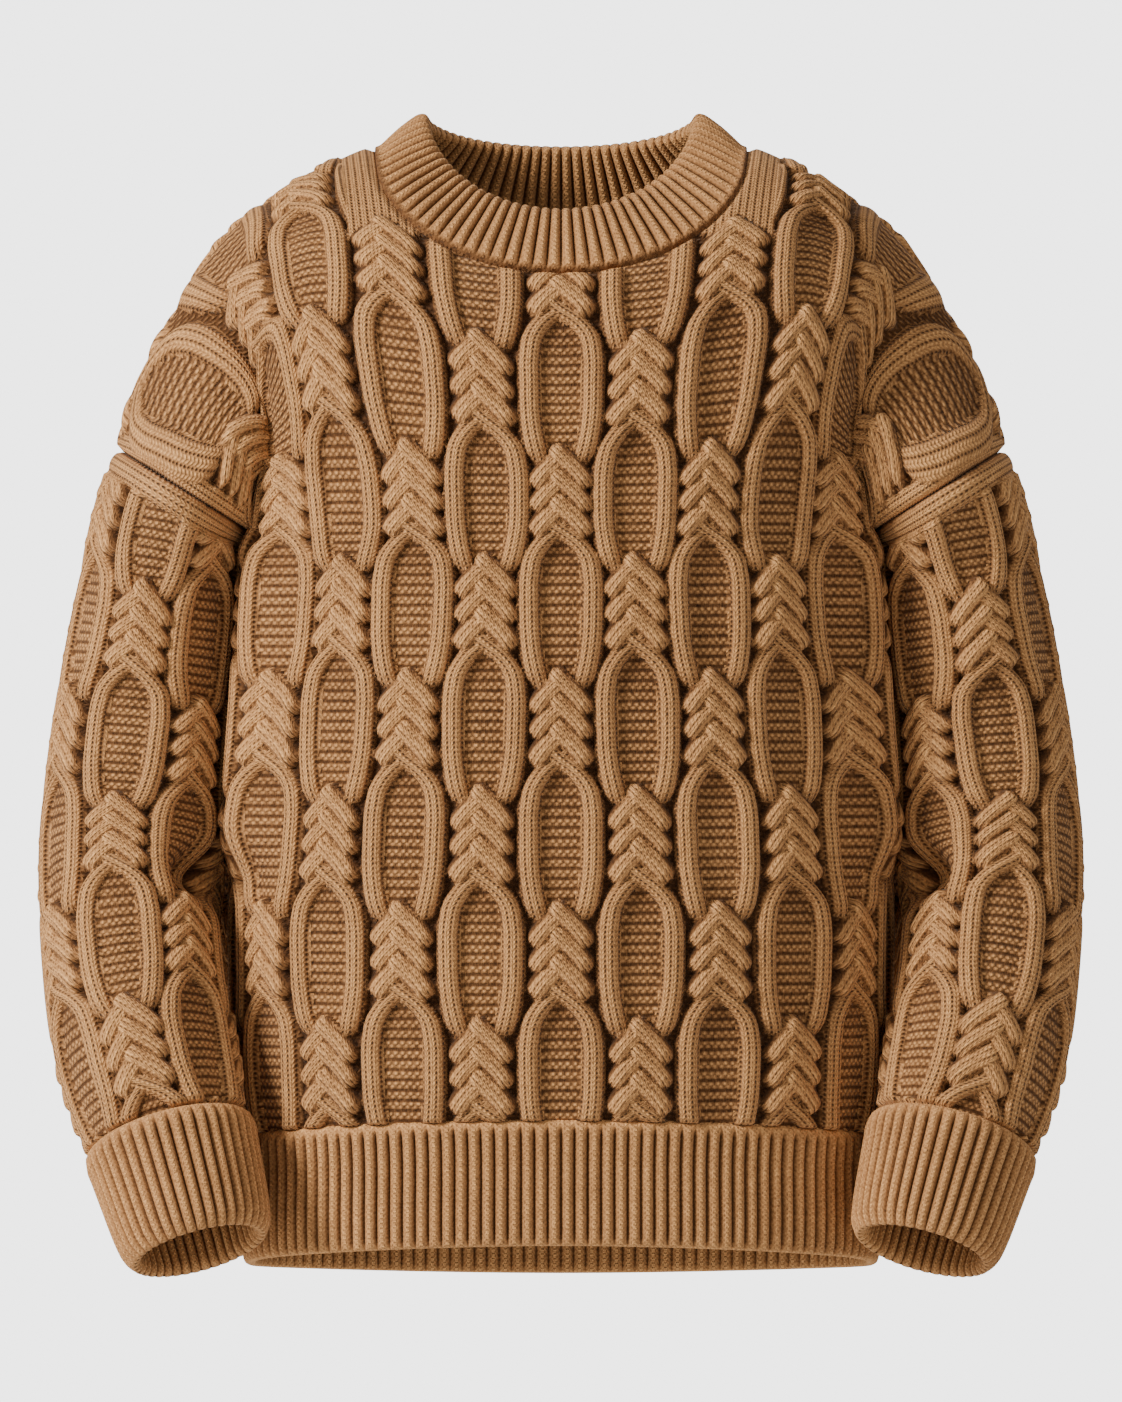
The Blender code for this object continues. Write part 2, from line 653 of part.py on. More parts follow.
def motif(plan, pitch_of, column, tip):
    """Returns one repeat laid on its column, in column coordinates and heights, and its edges."""
    rows, lines = plan
    v = tip - rows[:, 1]
    n = column + rows[:, 0] / pitch_of(np.full(len(v), float(column)), v)
    return list(zip(n, v)), lines


def groove(pitch_of, column, tip):
    """Returns the line between a column and the next one, winding round the eyes of both."""
    v = tip - GROOVE_PATH[:, 0]
    n = column + 0.5 + GROOVE_PATH[:, 1] / pitch_of(np.full(len(v), column + 0.5), v)
    return list(zip(n, v)), list(zip(range(len(v) - 1), range(1, len(v))))


def repeats(pitch_of, last_column, lowest_apex, phase):
    """Returns the points and edges of all the repeats of a piece."""
    plan = motif_plan()
    parts = []
    for column in range(-last_column, last_column + 1):
        apex = lowest_apex + 0.5 * REPEAT * ((column + phase) % 2)
        for repeat in range(-1, REPEATS_UP):
            tip = apex + repeat * REPEAT
            parts.append(motif(plan, pitch_of, column, tip))
            if column < last_column:
                parts.append(groove(pitch_of, column, tip))
    return gather(parts)


def triangulate(outline, points, edges):
    """Returns the flat points, first the outline's, and the triangles inside the outline."""
    count = len(outline)
    flat = [Vector((x * PITCH, y)) for x, y in list(outline) + list(points)]
    lines = [(a + count, b + count) for a, b in edges]
    face = [list(range(count))]
    found, _, faces, old_points, _, old_faces = delaunay_2d_cdt(flat, lines, face, 0, 1e-6, True)
    order = np.full(len(found), -1)
    for index, olds in enumerate(old_points):
        for old in olds:
            if old < count:
                order[index] = old
    order[order < 0] = count + np.arange(np.count_nonzero(order < 0))
    placed = np.zeros((len(found), 2))
    placed[order] = [(p.x / PITCH, p.y) for p in found]
    triangles = [[order[i] for i in f] for f, olds in zip(faces, old_faces) if olds]
    return placed, np.array(triangles)


def inside(points, edges, keep):
    """Returns only the points that keep is true for, and the edges between them."""
    number = np.cumsum(keep) - 1
    kept = [(number[a], number[b]) for a, b in edges if keep[a] and keep[b]]
    return points[keep], kept


def gather(parts):
    """Returns the points and edges of several parts as one list of each."""
    points = []
    edges = []
    for rows, lines in parts:
        edges.extend((a + len(points), b + len(points)) for a, b in lines)
        points.extend(rows)
    return np.array(points), edges


def skin_pair(outline, rimmed, features, lattice, place):
    """Returns the points and faces of a closed wall from its outline and its two skins' points.

    rimmed says which of the outline's edges carry a rim, and place gives the outer and the inner
    point of each flat point. A rim's square is cut from its lower outer corner, so that two rims
    that face each other across a seam bend the same way.
    """
    outer_flat, outer_faces = triangulate(outline, *features)
    inner_flat, inner_faces = triangulate(outline, lattice, [])
    outer = place(outer_flat[:, 0], outer_flat[:, 1])[0]
    inner = place(inner_flat[:, 0], inner_flat[:, 1])[1]
    count = len(outline)
    shift = len(outer)
    ring = np.arange(count)[rimmed]
    after = (ring + 1) % count
    lower = (outer[ring, 2] < outer[after, 2])[:, None]
    corner = np.where(lower, (after + shift)[:, None], (ring + shift)[:, None])[:, 0]
    first = np.stack((after, ring, corner), axis=1)
    start = np.where(lower, ring[:, None], after[:, None])[:, 0]
    second = np.stack((start, ring + shift, after + shift), axis=1)
    rim = np.concatenate((first, second))
    faces = np.concatenate((outer_faces, inner_faces[:, ::-1] + shift, rim))
    return np.concatenate((outer, inner)), faces


def make_object(name, points, faces, mirrored=False):
    """Makes one named object from points and faces, with its doubles merged and its own material."""
    if mirrored:
        points = points * MIRROR_X
    mesh = bpy.data.meshes.new(name)
    mesh.from_pydata([tuple(p) for p in points], [], [tuple(int(i) for i in f) for f in faces])
    work = bmesh.new()
    work.from_mesh(mesh)
    bmesh.ops.remove_doubles(work, verts=work.verts, dist=0.00001)
    bmesh.ops.recalc_face_normals(work, faces=work.faces)
    work.to_mesh(mesh)
    work.free()
    mesh.update()
    material = bpy.data.materials.new(name + "_wool")
    material.use_nodes = True
    shader = material.node_tree.nodes["Principled BSDF"]
    shader.inputs["Base Color"].default_value = WOOL
    shader.inputs["Roughness"].default_value = WOOL_ROUGHNESS
    shader.inputs["Metallic"].default_value = 0.0
    mesh.materials.append(material)
    piece = bpy.data.objects.new(name, mesh)
    bpy.context.collection.objects.link(piece)
    return piece


def neck_columns():
    """Returns the column coordinates at which the neck's seam is drawn, from -X to +X."""
    return NECK_COLUMN * np.sin(np.linspace(-0.5 * np.pi, 0.5 * np.pi, NECK_POINTS))


def panel_outline(back):
    """Returns the panel's outline, from the hem's -X corner towards +X and round."""
    edge = COLUMNS_EACH_SIDE
    along_hem = np.linspace(-edge, edge, HEM_POINTS)[:-1]
    hem = np.stack((along_hem, hem_v(along_hem, back)), axis=1)
    up_side = np.linspace(hem_v(edge, back), UNDERARM_V - ARCH_RADIUS, SIDE_POINTS)[:-1]
    arch = UNDERARM_V - ARCH_RADIUS * ARCH_SHARES
    side_v = np.concatenate((up_side, arch))
    hole_v = UNDERARM_V + np.linspace(0.0, 1.0, ARMHOLE_STEPS + 1) * upper_length(edge, back)
    side = np.concatenate((side_v, hole_v[:-1]))
    right = np.stack((np.full(len(side), edge), side), axis=1)
    shoulder_n = np.linspace(edge, NECK_COLUMN, SHOULDER_POINTS)[:-1]
    shoulder = np.stack((shoulder_n, UNDERARM_V + upper_length(shoulder_n, back)), axis=1)
    neck_n = neck_columns()[::-1]
    neck_height = neck_v(neck_n, back)
    neck_height[[0, -1]] = UNDERARM_V + upper_length(neck_n[[0, -1]], back)
    neck = np.stack((neck_n, neck_height), axis=1)
    left_shoulder = shoulder[::-1] * (-1.0, 1.0)
    left = right[:0:-1] * (-1.0, 1.0)
    return np.concatenate((hem, right, shoulder, neck, left_shoulder, left))


def place_body(n, v, back):
    """Returns the outer and inner points of a panel, with its rims square to the seams."""
    ground = body(n, v, back)
    out = body_normals(n, v, back)
    top = UNDERARM_V + upper_length(n, back)
    on_edge = np.abs(n) > COLUMNS_EACH_SIDE - ON_EDGE
    on_side = on_edge & (v < UNDERARM_V - ON_EDGE)
    on_hole = on_edge & ~on_side
    on_top = (v > top - ON_EDGE) & (np.abs(n) > NECK_COLUMN - ON_EDGE)
    share = np.clip((v - UNDERARM_V) / (top - UNDERARM_V), 0.0, 1.0)
    hole_out = armhole(share, back)[1]
    hole_out = hole_out * np.where(n > 0.0, -1.0, 1.0)[:, None] ** np.array((1, 0, 0))
    out = np.where(on_hole[:, None], hole_out, out)
    at_underarm = on_hole & (share < ON_EDGE)
    flat = on_side | on_top | at_underarm
    out = np.where(flat[:, None], unit(out * (1.0, 0.0, 1.0)), out)
    on_hem = np.abs(v - hem_v(n, back)) < ON_EDGE
    out = np.where(on_hem[:, None], unit(out * (1.0, 1.0, 0.0)), out)
    outer = ground + out * body_relief(n, v, back)[:, None]
    inner = ground - out * WALL
    half_gap = 0.5 * GAP * (1.0 if back else -1.0)
    for points in (outer, inner):
        points[flat, 1] = half_gap
    return outer, inner


def make_panel(name, back):
    """Makes the front or the back panel."""
    phase = 1 if back else 0
    points, edges = repeats(lambda n, v: real_pitch(n, v, back), LAST_COLUMN, LOWEST_APEX, phase)
    points, edges = inside(points, edges, well_inside_panel(points, back, FEATURE_MARGIN))
    columns = np.concatenate((np.arange(-LAST_COLUMN, LAST_COLUMN + 1.0), (-4.5, 4.5)))
    low = np.arange(LATTICE_START, UNDERARM_V, LOW_SPACING)
    high = UNDERARM_V + np.arange(HIGH_START, HIGH_END, HIGH_SPACING)
    lattice = np.stack(np.meshgrid(columns, np.concatenate((low, high))), axis=-1).reshape(-1, 2)
    lattice = lattice[well_inside_panel(lattice, back, LATTICE_MARGIN)]
    outline = panel_outline(back)
    rimmed = np.ones(len(outline), bool)
    skins = skin_pair(outline, rimmed, (points, edges), lattice, lambda n, v: place_body(n, v, back))
    return make_object(name, *skins)


def well_inside_panel(points, back, margin):
    """Returns which flat points lie inside the panel by more than the margin."""
    n = points[:, 0]
    v = points[:, 1]
    limit = np.clip(n, -COLUMNS_EACH_SIDE, COLUMNS_EACH_SIDE)
    to_side = (COLUMNS_EACH_SIDE - np.abs(n)) * PITCH
    top = UNDERARM_V + upper_length(limit, back)
    near = np.minimum.reduce((to_side, top - v, v - hem_v(limit, back)))
    near = np.minimum(near, neck_reach(body(limit, np.minimum(v, top), back), back))
    return near > margin


def sleeve_low_columns():
    """Returns the column coordinates along the sleeve's lower end, without the last."""
    return np.linspace(-SLEEVE_COLUMNS_EACH_SIDE, SLEEVE_COLUMNS_EACH_SIDE, SLEEVE_END_POINTS)[:-1]


def sleeve_outline():
    """Returns the sleeve's outline, from its lower end at the -n edge towards +n and round."""
    edge = SLEEVE_COLUMNS_EACH_SIDE
    low_n = sleeve_low_columns()
    low = np.stack((low_n, np.zeros(len(low_n))), axis=1)
    top_v = CAP_V + float(cap_length(np.array(edge)))
    side_v = np.concatenate(((0.0,), np.linspace(CUFF_COVER, top_v, SLEEVE_SIDE_POINTS)[:-1]))
    right = np.stack((np.full(len(side_v), edge), side_v), axis=1)
    top_n = np.linspace(edge, -edge, 2 * ARMHOLE_STEPS + 1)
    top = np.stack((top_n, CAP_V + cap_length(top_n)), axis=1)
    left = right[:0:-1] * (-1.0, 1.0)
    return np.concatenate((low, right, top, left))


def place_sleeve(n, v):
    """Returns the outer and inner points of the sleeve, with its upper rim square to the armhole."""
    ground = sleeve(n, v)
    out = sleeve_normals(n, v)
    on_top = v > CAP_V + cap_length(n) - ON_EDGE
    out = np.where(on_top[:, None], armhole_at(n)[1], out)
    on_end = v < ON_EDGE
    up = sleeve_frame(np.maximum(v, 0.0))[1]
    square = unit(out - np.sum(out * up, axis=-1, keepdims=True) * up)
    out = np.where(on_end[:, None], square, out)
    ground = ground - out * elbow_dimple(n, v)[:, None]
    return ground + out * sleeve_relief(n, v)[:, None], ground - out * WALL


def make_sleeve(name, mirrored):
    """Makes one sleeve, a tube whose two long edges meet under the arm."""
    points, edges = repeats(sleeve_pitch, SLEEVE_LAST_COLUMN, SLEEVE_LOWEST_APEX, 0)
    above_cuff = points[:, 1] > CUFF_COVER + FEATURE_MARGIN
    points, edges = inside(points, edges, above_cuff & well_inside_sleeve(points, FEATURE_MARGIN))
    under_cuff = sleeve_low_columns()[1:]
    cover = np.stack((under_cuff, np.full(len(under_cuff), CUFF_COVER)), axis=1)
    points = np.concatenate((points, cover))
    columns = np.linspace(-SLEEVE_LAST_COLUMN, SLEEVE_LAST_COLUMN, 4 * SLEEVE_LAST_COLUMN + 1)
    heights = np.arange(LATTICE_START, SLEEVE_END, SLEEVE_SPACING)
    lattice = np.stack(np.meshgrid(columns, heights), axis=-1).reshape(-1, 2)
    lattice = lattice[well_inside_sleeve(lattice, LATTICE_MARGIN)]
    outline = sleeve_outline()
    ahead = np.roll(outline, -1, axis=0)
    rimmed = np.abs(outline[:, 0] - ahead[:, 0]) > ON_EDGE
    verts, faces = skin_pair(outline, rimmed, (points, edges), lattice, place_sleeve)
    return make_object(name, verts, faces, mirrored)


def well_inside_sleeve(points, margin):
    """Returns which flat points lie inside the sleeve's outline by more than the margin."""
    n = points[:, 0]
    to_side = (SLEEVE_COLUMNS_EACH_SIDE - np.abs(n)) * PITCH
    top = CAP_V + cap_length(np.clip(n, -SLEEVE_COLUMNS_EACH_SIDE, SLEEVE_COLUMNS_EACH_SIDE))
    near = np.minimum.reduce((to_side, top - points[:, 1], points[:, 1]))
    return near > margin


# ---------------------------------------------------------------- ribbed bands


def ribbed_ring(name, rows, mirrored=False):
    """Makes a closed band from loops of points, the last joined to the first.

    Loops have either the fine or the coarse count of points, and FANNING fine ones meet a coarse.
    """
    starts = np.cumsum([0] + [len(row) for row in rows])
    faces = []
    for index, row in enumerate(rows):
        following = rows[(index + 1) % len(rows)]
        first = starts[index]
        second = starts[(index + 1) % len(rows)]
        faces.extend(band_faces(first, len(row), second, len(following)))
    return make_object(name, np.concatenate(rows), faces, mirrored)


def band_faces(first, first_count, second, second_count):
    """Returns the triangles between two loops, the finer one fanned onto the coarser."""
    if first_count < second_count:
        return [face[::-1] for face in band_faces(second, second_count, first, first_count)]
    ratio = first_count // second_count
    faces = []
    for i in range(first_count):
        j = (i + 1) % first_count
        near = ((i + ratio // 2) // ratio) % second_count
        far = ((i + 1 + ratio // 2) // ratio) % second_count
        faces.append((first + i, first + j, second + near))
        if near != far:
            faces.append((first + j, second + far, second + near))
    return faces


def rib_wave(count):
    """Returns the rise of each fine point, crest and groove by turns."""
    return RIB_HALF_HEIGHT * (1.0 - 2.0 * (np.arange(count) % 2))


def hem_place(share):
    """Returns column coordinates and which points are on the back, once round the body."""
    turn = 4.0 * COLUMNS_EACH_SIDE * share
    back = turn > 2.0 * COLUMNS_EACH_SIDE
    n = np.where(back, 3.0 * COLUMNS_EACH_SIDE - turn, turn - COLUMNS_EACH_SIDE)
    return n, back


def hem_ring(count, down, out, rib):
    """Returns one loop of the hem band, down from 0 at its seam to 1 at its lower edge."""
    n, back = hem_place(np.arange(count) / count)
    turn = np.abs(n) / COLUMNS_EACH_SIDE
    top = HEM_SEAM_Z + np.where(back, hem_v(n, True), hem_v(n, False)) - GAP
    rear = HEM_LOW_DROP_BACK + (HEM_LOW_DROP_SIDE - HEM_LOW_DROP_BACK) * turn**2
    low = HEM_LOW_Z - np.where(back, rear, HEM_LOW_DROP_SIDE * turn**2)
    z = top + (low - top) * down
    points = np.where(back[:, None], section(n, z, True), section(n, z, False))
    next_share = np.arange(count) / count + TURN_STEP / (4.0 * COLUMNS_EACH_SIDE)
    ahead, ahead_back = hem_place(np.mod(next_share, 1.0))
    next_points = np.where(ahead_back[:, None], section(ahead, z, True), section(ahead, z, False))
    along = unit((next_points - points) * (1.0, 1.0, 0.0))
    normal = np.stack((along[:, 1], -along[:, 0], np.zeros(count)), axis=1)
    rise = out + (rib * rib_wave(count) if rib else 0.0)
    return points + normal * np.broadcast_to(rise, (count,))[:, None]


def make_hem():
    """Makes the hem band."""
    fine = 2 * HEM_RIBS
    coarse = fine // FANNING
    rows = [hem_ring(fine if rib else coarse, down, out, rib) for down, out, rib in HEM_PROFILE]
    return ribbed_ring("hem_rib", rows)


def neck_seam(turn):
    """Returns the neck seam's points and outward directions, turn running once round."""
    n = NECK_COLUMN * np.sin(turn)
    back = np.cos(turn) < -ON_EDGE
    points = []
    outs = []
    for rear in (False, True):
        v = neck_v(n, rear)
        at_tip = np.abs(n) > NECK_COLUMN - ON_EDGE
        v = np.where(at_tip, UNDERARM_V + upper_length(n, rear), v)
        points.append(body(n, v, rear))
        out = body_normals(n, v, rear)
        outs.append(np.where(at_tip[:, None], unit(out * (1.0, 0.0, 1.0)), out))
    return (np.where(back[:, None], pair[1], pair[0]) for pair in (points, outs))


def band_crest(turn):
    """Returns the crest of the neckband."""
    y = np.where(np.cos(turn) > 0.0, -BAND_FRONT, -BAND_BACK) * np.cos(turn)
    slope = np.where(y < 0.0, BAND_SLOPE_FRONT, BAND_SLOPE_BACK)
    return np.stack((BAND_HALF_WIDTH * np.sin(turn), y, BAND_SIDE_Z + slope * y), axis=1)


def neck_ring(count, along, out, rib):
    """Returns one loop of the neckband."""
    turn = 2.0 * np.pi * np.arange(count) / count
    seam, seam_out = neck_seam(turn)
    crest = band_crest(turn)
    loop = np.roll(seam, -1, axis=0) - np.roll(seam, 1, axis=0)
    rise = crest - seam
    normal = unit(np.cross(loop, rise))
    away = unit(np.cross(seam_out, loop))
    away = away * np.sign(np.sum(away * rise, axis=1))[:, None]
    share = ramp(np.array(along / BAND_TURN))
    direction = unit(seam_out * (1.0 - share) + normal * share)
    height = out + (rib * rib_wave(count) if rib else 0.0)
    base = seam + away * GAP + rise * along
    return base + direction * np.broadcast_to(height, (count,))[:, None]


def make_neckband():
    """Makes the neckband."""
    fine = 2 * NECK_RIBS
    coarse = fine // FANNING
    rows = [neck_ring(fine if rib else coarse, along, out, rib) for along, out, rib in BAND_PROFILE]
    return ribbed_ring("neckband", rows)


def cuff_ring(count, along, out, rib):
    """Returns one loop of the -X cuff."""
    angle = 2.0 * np.pi * np.arange(count) / count
    above = np.array((max(-along, 0.0),))
    below = max(along, 0.0)
    centre, up, inward, forward = (part[0] for part in sleeve_frame(above))
    half_width, half_depth = smooth(RING_V, SLEEVE_RINGS[:, 3:5], above)[0] - CUFF_TAPER * below
    rise = out + (rib * rib_wave(count) if rib else 0.0)
    across = ((half_width + rise) * np.sin(angle))[:, None] * inward
    ahead = ((half_depth + rise) * np.cos(angle))[:, None] * forward
    return centre - up * below + across + ahead


def make_cuff(name, mirrored):
    """Makes one cuff."""
    fine = 2 * CUFF_RIBS
    coarse = fine // FANNING
    rows = [cuff_ring(fine if rib else coarse, along, out, rib) for along, out, rib in CUFF_PROFILE]
    return ribbed_ring(name, rows, mirrored)


def main():
    """Clears the scene and makes every piece."""
    for old in list(bpy.data.objects):
        bpy.data.objects.remove(old, do_unlink=True)
    make_panel("front", False)
    make_panel("back", True)
    make_sleeve("sleeve_right", False)
    make_sleeve("sleeve_left", True)
    make_neckband()
    make_hem()
    make_cuff("cuff_right", False)
    make_cuff("cuff_left", True)


main()
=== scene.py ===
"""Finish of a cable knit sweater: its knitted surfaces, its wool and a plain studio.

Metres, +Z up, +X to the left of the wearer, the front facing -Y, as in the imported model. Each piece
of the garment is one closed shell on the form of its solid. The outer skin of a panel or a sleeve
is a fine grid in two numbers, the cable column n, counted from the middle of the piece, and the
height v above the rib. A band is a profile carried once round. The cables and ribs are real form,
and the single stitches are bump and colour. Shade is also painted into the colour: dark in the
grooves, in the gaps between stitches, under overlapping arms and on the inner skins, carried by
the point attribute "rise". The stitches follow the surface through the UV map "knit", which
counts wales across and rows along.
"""

import logging
from dataclasses import dataclass, field
from enum import Enum

import bpy
import numpy as np
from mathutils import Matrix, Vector


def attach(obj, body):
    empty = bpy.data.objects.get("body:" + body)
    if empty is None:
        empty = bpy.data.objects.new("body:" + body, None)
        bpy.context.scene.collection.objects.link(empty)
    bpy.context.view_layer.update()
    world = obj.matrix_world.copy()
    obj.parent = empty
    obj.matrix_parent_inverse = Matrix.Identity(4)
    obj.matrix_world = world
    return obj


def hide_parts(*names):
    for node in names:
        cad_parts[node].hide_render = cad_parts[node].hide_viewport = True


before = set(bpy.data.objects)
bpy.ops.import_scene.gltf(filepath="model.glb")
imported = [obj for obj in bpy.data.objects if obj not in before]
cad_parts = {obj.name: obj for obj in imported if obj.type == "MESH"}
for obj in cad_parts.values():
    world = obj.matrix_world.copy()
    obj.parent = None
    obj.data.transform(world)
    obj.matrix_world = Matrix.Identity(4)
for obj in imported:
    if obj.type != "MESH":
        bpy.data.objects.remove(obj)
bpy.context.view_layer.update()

LOG = logging.getLogger("sweater")

GAP = 0.0003
WALL = 0.004
ON_EDGE = 1e-6
BODY = "root"
UV_NAME = "knit"
BUMPS_NAME = "bumps"
# The point attribute "rise" holds painted shade: dark in grooves and gaps, light on crests
PAINTED_SHADE_NAME = "rise"


class Side(Enum):
    """Which of the two panels."""

    FRONT = "front"
    BACK = "back"


class Hand(Enum):
    """Which of the wearer's arms, by the sign of its side in X."""

    RIGHT = -1.0
    LEFT = 1.0

    @property
    def word(self) -> str:
        """The arm's name in lower case."""
        return self.name.lower()


# ---------------------------------------------------------------- curves


def hermite(
    t: np.ndarray,
    start: np.ndarray,
    end: np.ndarray,
    start_speed: np.ndarray,
    end_speed: np.ndarray,
) -> np.ndarray:
    """Works out a cubic between two points.

    Args:
        t: place along it, from 0 to 1.
        start: first point.
        end: last point.
        start_speed: derivative in t at the first point.
        end_speed: derivative in t at the last point.

    Returns:
        The points of the cubic that leaves start with one speed and reaches end with the other.
    """
    t2 = t * t
    t3 = t2 * t
    return (
        (2 * t3 - 3 * t2 + 1) * start
        + (3 * t2 - 2 * t3) * end
        + (t3 - 2 * t2 + t) * start_speed
        + (t3 - t2) * end_speed
    )


def smooth(table_x: np.ndarray, table_y: np.ndarray, x: np.ndarray) -> np.ndarray:
    """Reads a table along a smooth curve.

    Args:
        table_x: rising places of the rows.
        table_y: the rows' values.
        x: places to read at.

    Returns:
        The values on the cubic through all rows whose slopes are the rows' mean slopes, held at
        both ends.
    """
    x = np.clip(np.asarray(x, float), table_x[0], table_x[-1])
    slopes = np.gradient(table_y, table_x, axis=0)
    row = np.clip(np.searchsorted(table_x, x, side="right") - 1, 0, len(table_x) - 2)
    step = table_x[row + 1] - table_x[row]
    t = (x - table_x[row]) / step
    if table_y.ndim > 1:
        t = t[..., None]
        step = step[..., None]
    return hermite(t, table_y[row], table_y[row + 1], slopes[row] * step, slopes[row + 1] * step)


def ramp(x: np.ndarray) -> np.ndarray:
    """Returns 0 below 0, 1 above 1 and 3x^2 - 2x^3 between."""
    x = np.clip(x, 0.0, 1.0)
    return x * x * (3.0 - 2.0 * x)


def rise_over(x: np.ndarray, stretch: tuple[float, float]) -> np.ndarray:
    """Returns the ramp of x over a stretch that is given by its start and its length."""
    start, length = stretch
    return ramp((x - start) / length)


def unit(vectors: np.ndarray) -> np.ndarray:
    """Returns each vector at length 1."""
    return vectors / np.maximum(np.linalg.norm(vectors, axis=-1, keepdims=True), 1e-12)


# ---------------------------------------------------------------- meshes


@dataclass
class Cloth:
    """One closed knitted shell before it is a mesh, gathered part by part."""

    points: list[np.ndarray] = field(default_factory=list)
    painted_shades: list[np.ndarray] = field(default_factory=list)
    faces: list[np.ndarray] = field(default_factory=list)
    stitches: list[np.ndarray] = field(default_factory=list)
    bumps: list[np.ndarray] = field(default_factory=list)

    def add_points(self, points: np.ndarray, rise: np.ndarray) -> np.ndarray:
        """Adds points.

        Args:
            points: places, in any shape of grid.
            rise: painted shade of each point, from 0, dark, in a groove to 1 on a crest.

        Returns:
            The points' numbers, in the same shape of grid.
        """
        first = sum(len(part) for part in self.points)
        flat = points.reshape(-1, 3)
        self.points.append(flat)
        self.painted_shades.append(np.broadcast_to(rise, points.shape[:-1]).reshape(-1))
        return (first + np.arange(len(flat))).reshape(points.shape[:-1])

    def add_faces(self, faces: np.ndarray, stitches: np.ndarray, bumps: np.ndarray) -> None:
        """Adds faces of three or four corners.

        Args:
            faces: the corners' point numbers, one row for each face.
            stitches: wale and row at each corner.
            bumps: kind of stitch that each face shows, from -1 to 2.
        """
        self.faces.append(faces)
        self.stitches.append(stitches.reshape(-1, 2))
        self.bumps.append(np.broadcast_to(bumps, len(faces)))

    def build(self, name: str) -> bpy.types.Object:
        """Makes the mesh object.

        Args:
            name: the object's name.

        Returns:
            The smooth-shaded object, linked to the scene, with its UV map and attributes.
        """
        points = np.concatenate(self.points)
        corners = np.concatenate([faces.ravel() for faces in self.faces])
        counts = np.concatenate([np.full(len(faces), faces.shape[1]) for faces in self.faces])
        starts = np.concatenate(((0,), np.cumsum(counts)[:-1]))
        mesh = bpy.data.meshes.new(name)
        mesh.vertices.add(len(points))
        mesh.vertices.foreach_set("co", points.astype(np.float32).ravel())
        mesh.loops.add(len(corners))
        mesh.loops.foreach_set("vertex_index", corners.astype(np.int32))
        mesh.polygons.add(len(counts))
        mesh.polygons.foreach_set("loop_start", starts.astype(np.int32))
        mesh.update(calc_edges=True)
        uv = mesh.uv_layers.new(name=UV_NAME)
        uv.data.foreach_set("uv", np.concatenate(self.stitches).astype(np.float32).ravel())
        bumps = mesh.attributes.new(BUMPS_NAME, "FLOAT", "FACE")
        bumps.data.foreach_set("value", np.concatenate(self.bumps).astype(np.float32))
        # painted shade of each point, read by the materials
        rise = mesh.attributes.new(PAINTED_SHADE_NAME, "FLOAT", "POINT")
        rise.data.foreach_set("value", np.concatenate(self.painted_shades).astype(np.float32))
        mesh.polygons.foreach_set("use_smooth", np.ones(len(counts), bool))
        piece = bpy.data.objects.new(name, mesh)
        bpy.context.scene.collection.objects.link(piece)
        return piece


def quads(numbers: np.ndarray, flipped: bool) -> np.ndarray:
    """Joins a grid of point numbers into squares.

    Args:
        numbers: point numbers, rows going up and columns going across.
        flipped: whether the squares face the other way.

    Returns:
        The squares' corners. They face along across times up, or against it if flipped.
    """
    low = numbers[:-1]
    high = numbers[1:]
    faces = np.stack((low[:, :-1], low[:, 1:], high[:, 1:], high[:, :-1]), axis=-1).reshape(-1, 4)
    return faces[:, ::-1] if flipped else faces


def border(numbers: np.ndarray) -> np.ndarray:
    """Returns the outline of a grid of point numbers, once round."""
    sides = (numbers[0, :-1], numbers[:-1, -1], numbers[-1, :0:-1], numbers[:0:-1, 0])
    return np.concatenate(sides)


def rim(fine: np.ndarray, coarse: np.ndarray, flipped: bool) -> np.ndarray:
    """Joins a closed loop of points to a coarser loop.

    Args:
        fine: point numbers of the outer skin's edge.
        coarse: point numbers of the inner skin's edge, a whole number of times fewer.
        flipped: whether the outer skin is flipped.

    Returns:
        Triangles, each coarse point fanned out to the fine points nearest to it.
    """
    ratio = len(fine) // len(coarse)
    first = np.arange(len(fine))
    second = (first + 1) % len(fine)
    near = ((first + ratio // 2) // ratio) % len(coarse)
    far = ((first + 1 + ratio // 2) // ratio) % len(coarse)
    fans = np.stack((fine[second], fine[first], coarse[near]), axis=1)
    turns = np.stack((fine[second], coarse[near], coarse[far]), axis=1)[near != far]
    faces = np.concatenate((fans, turns))
    return faces[:, ::-1] if flipped else faces


# ---------------------------------------------------------------- knitting


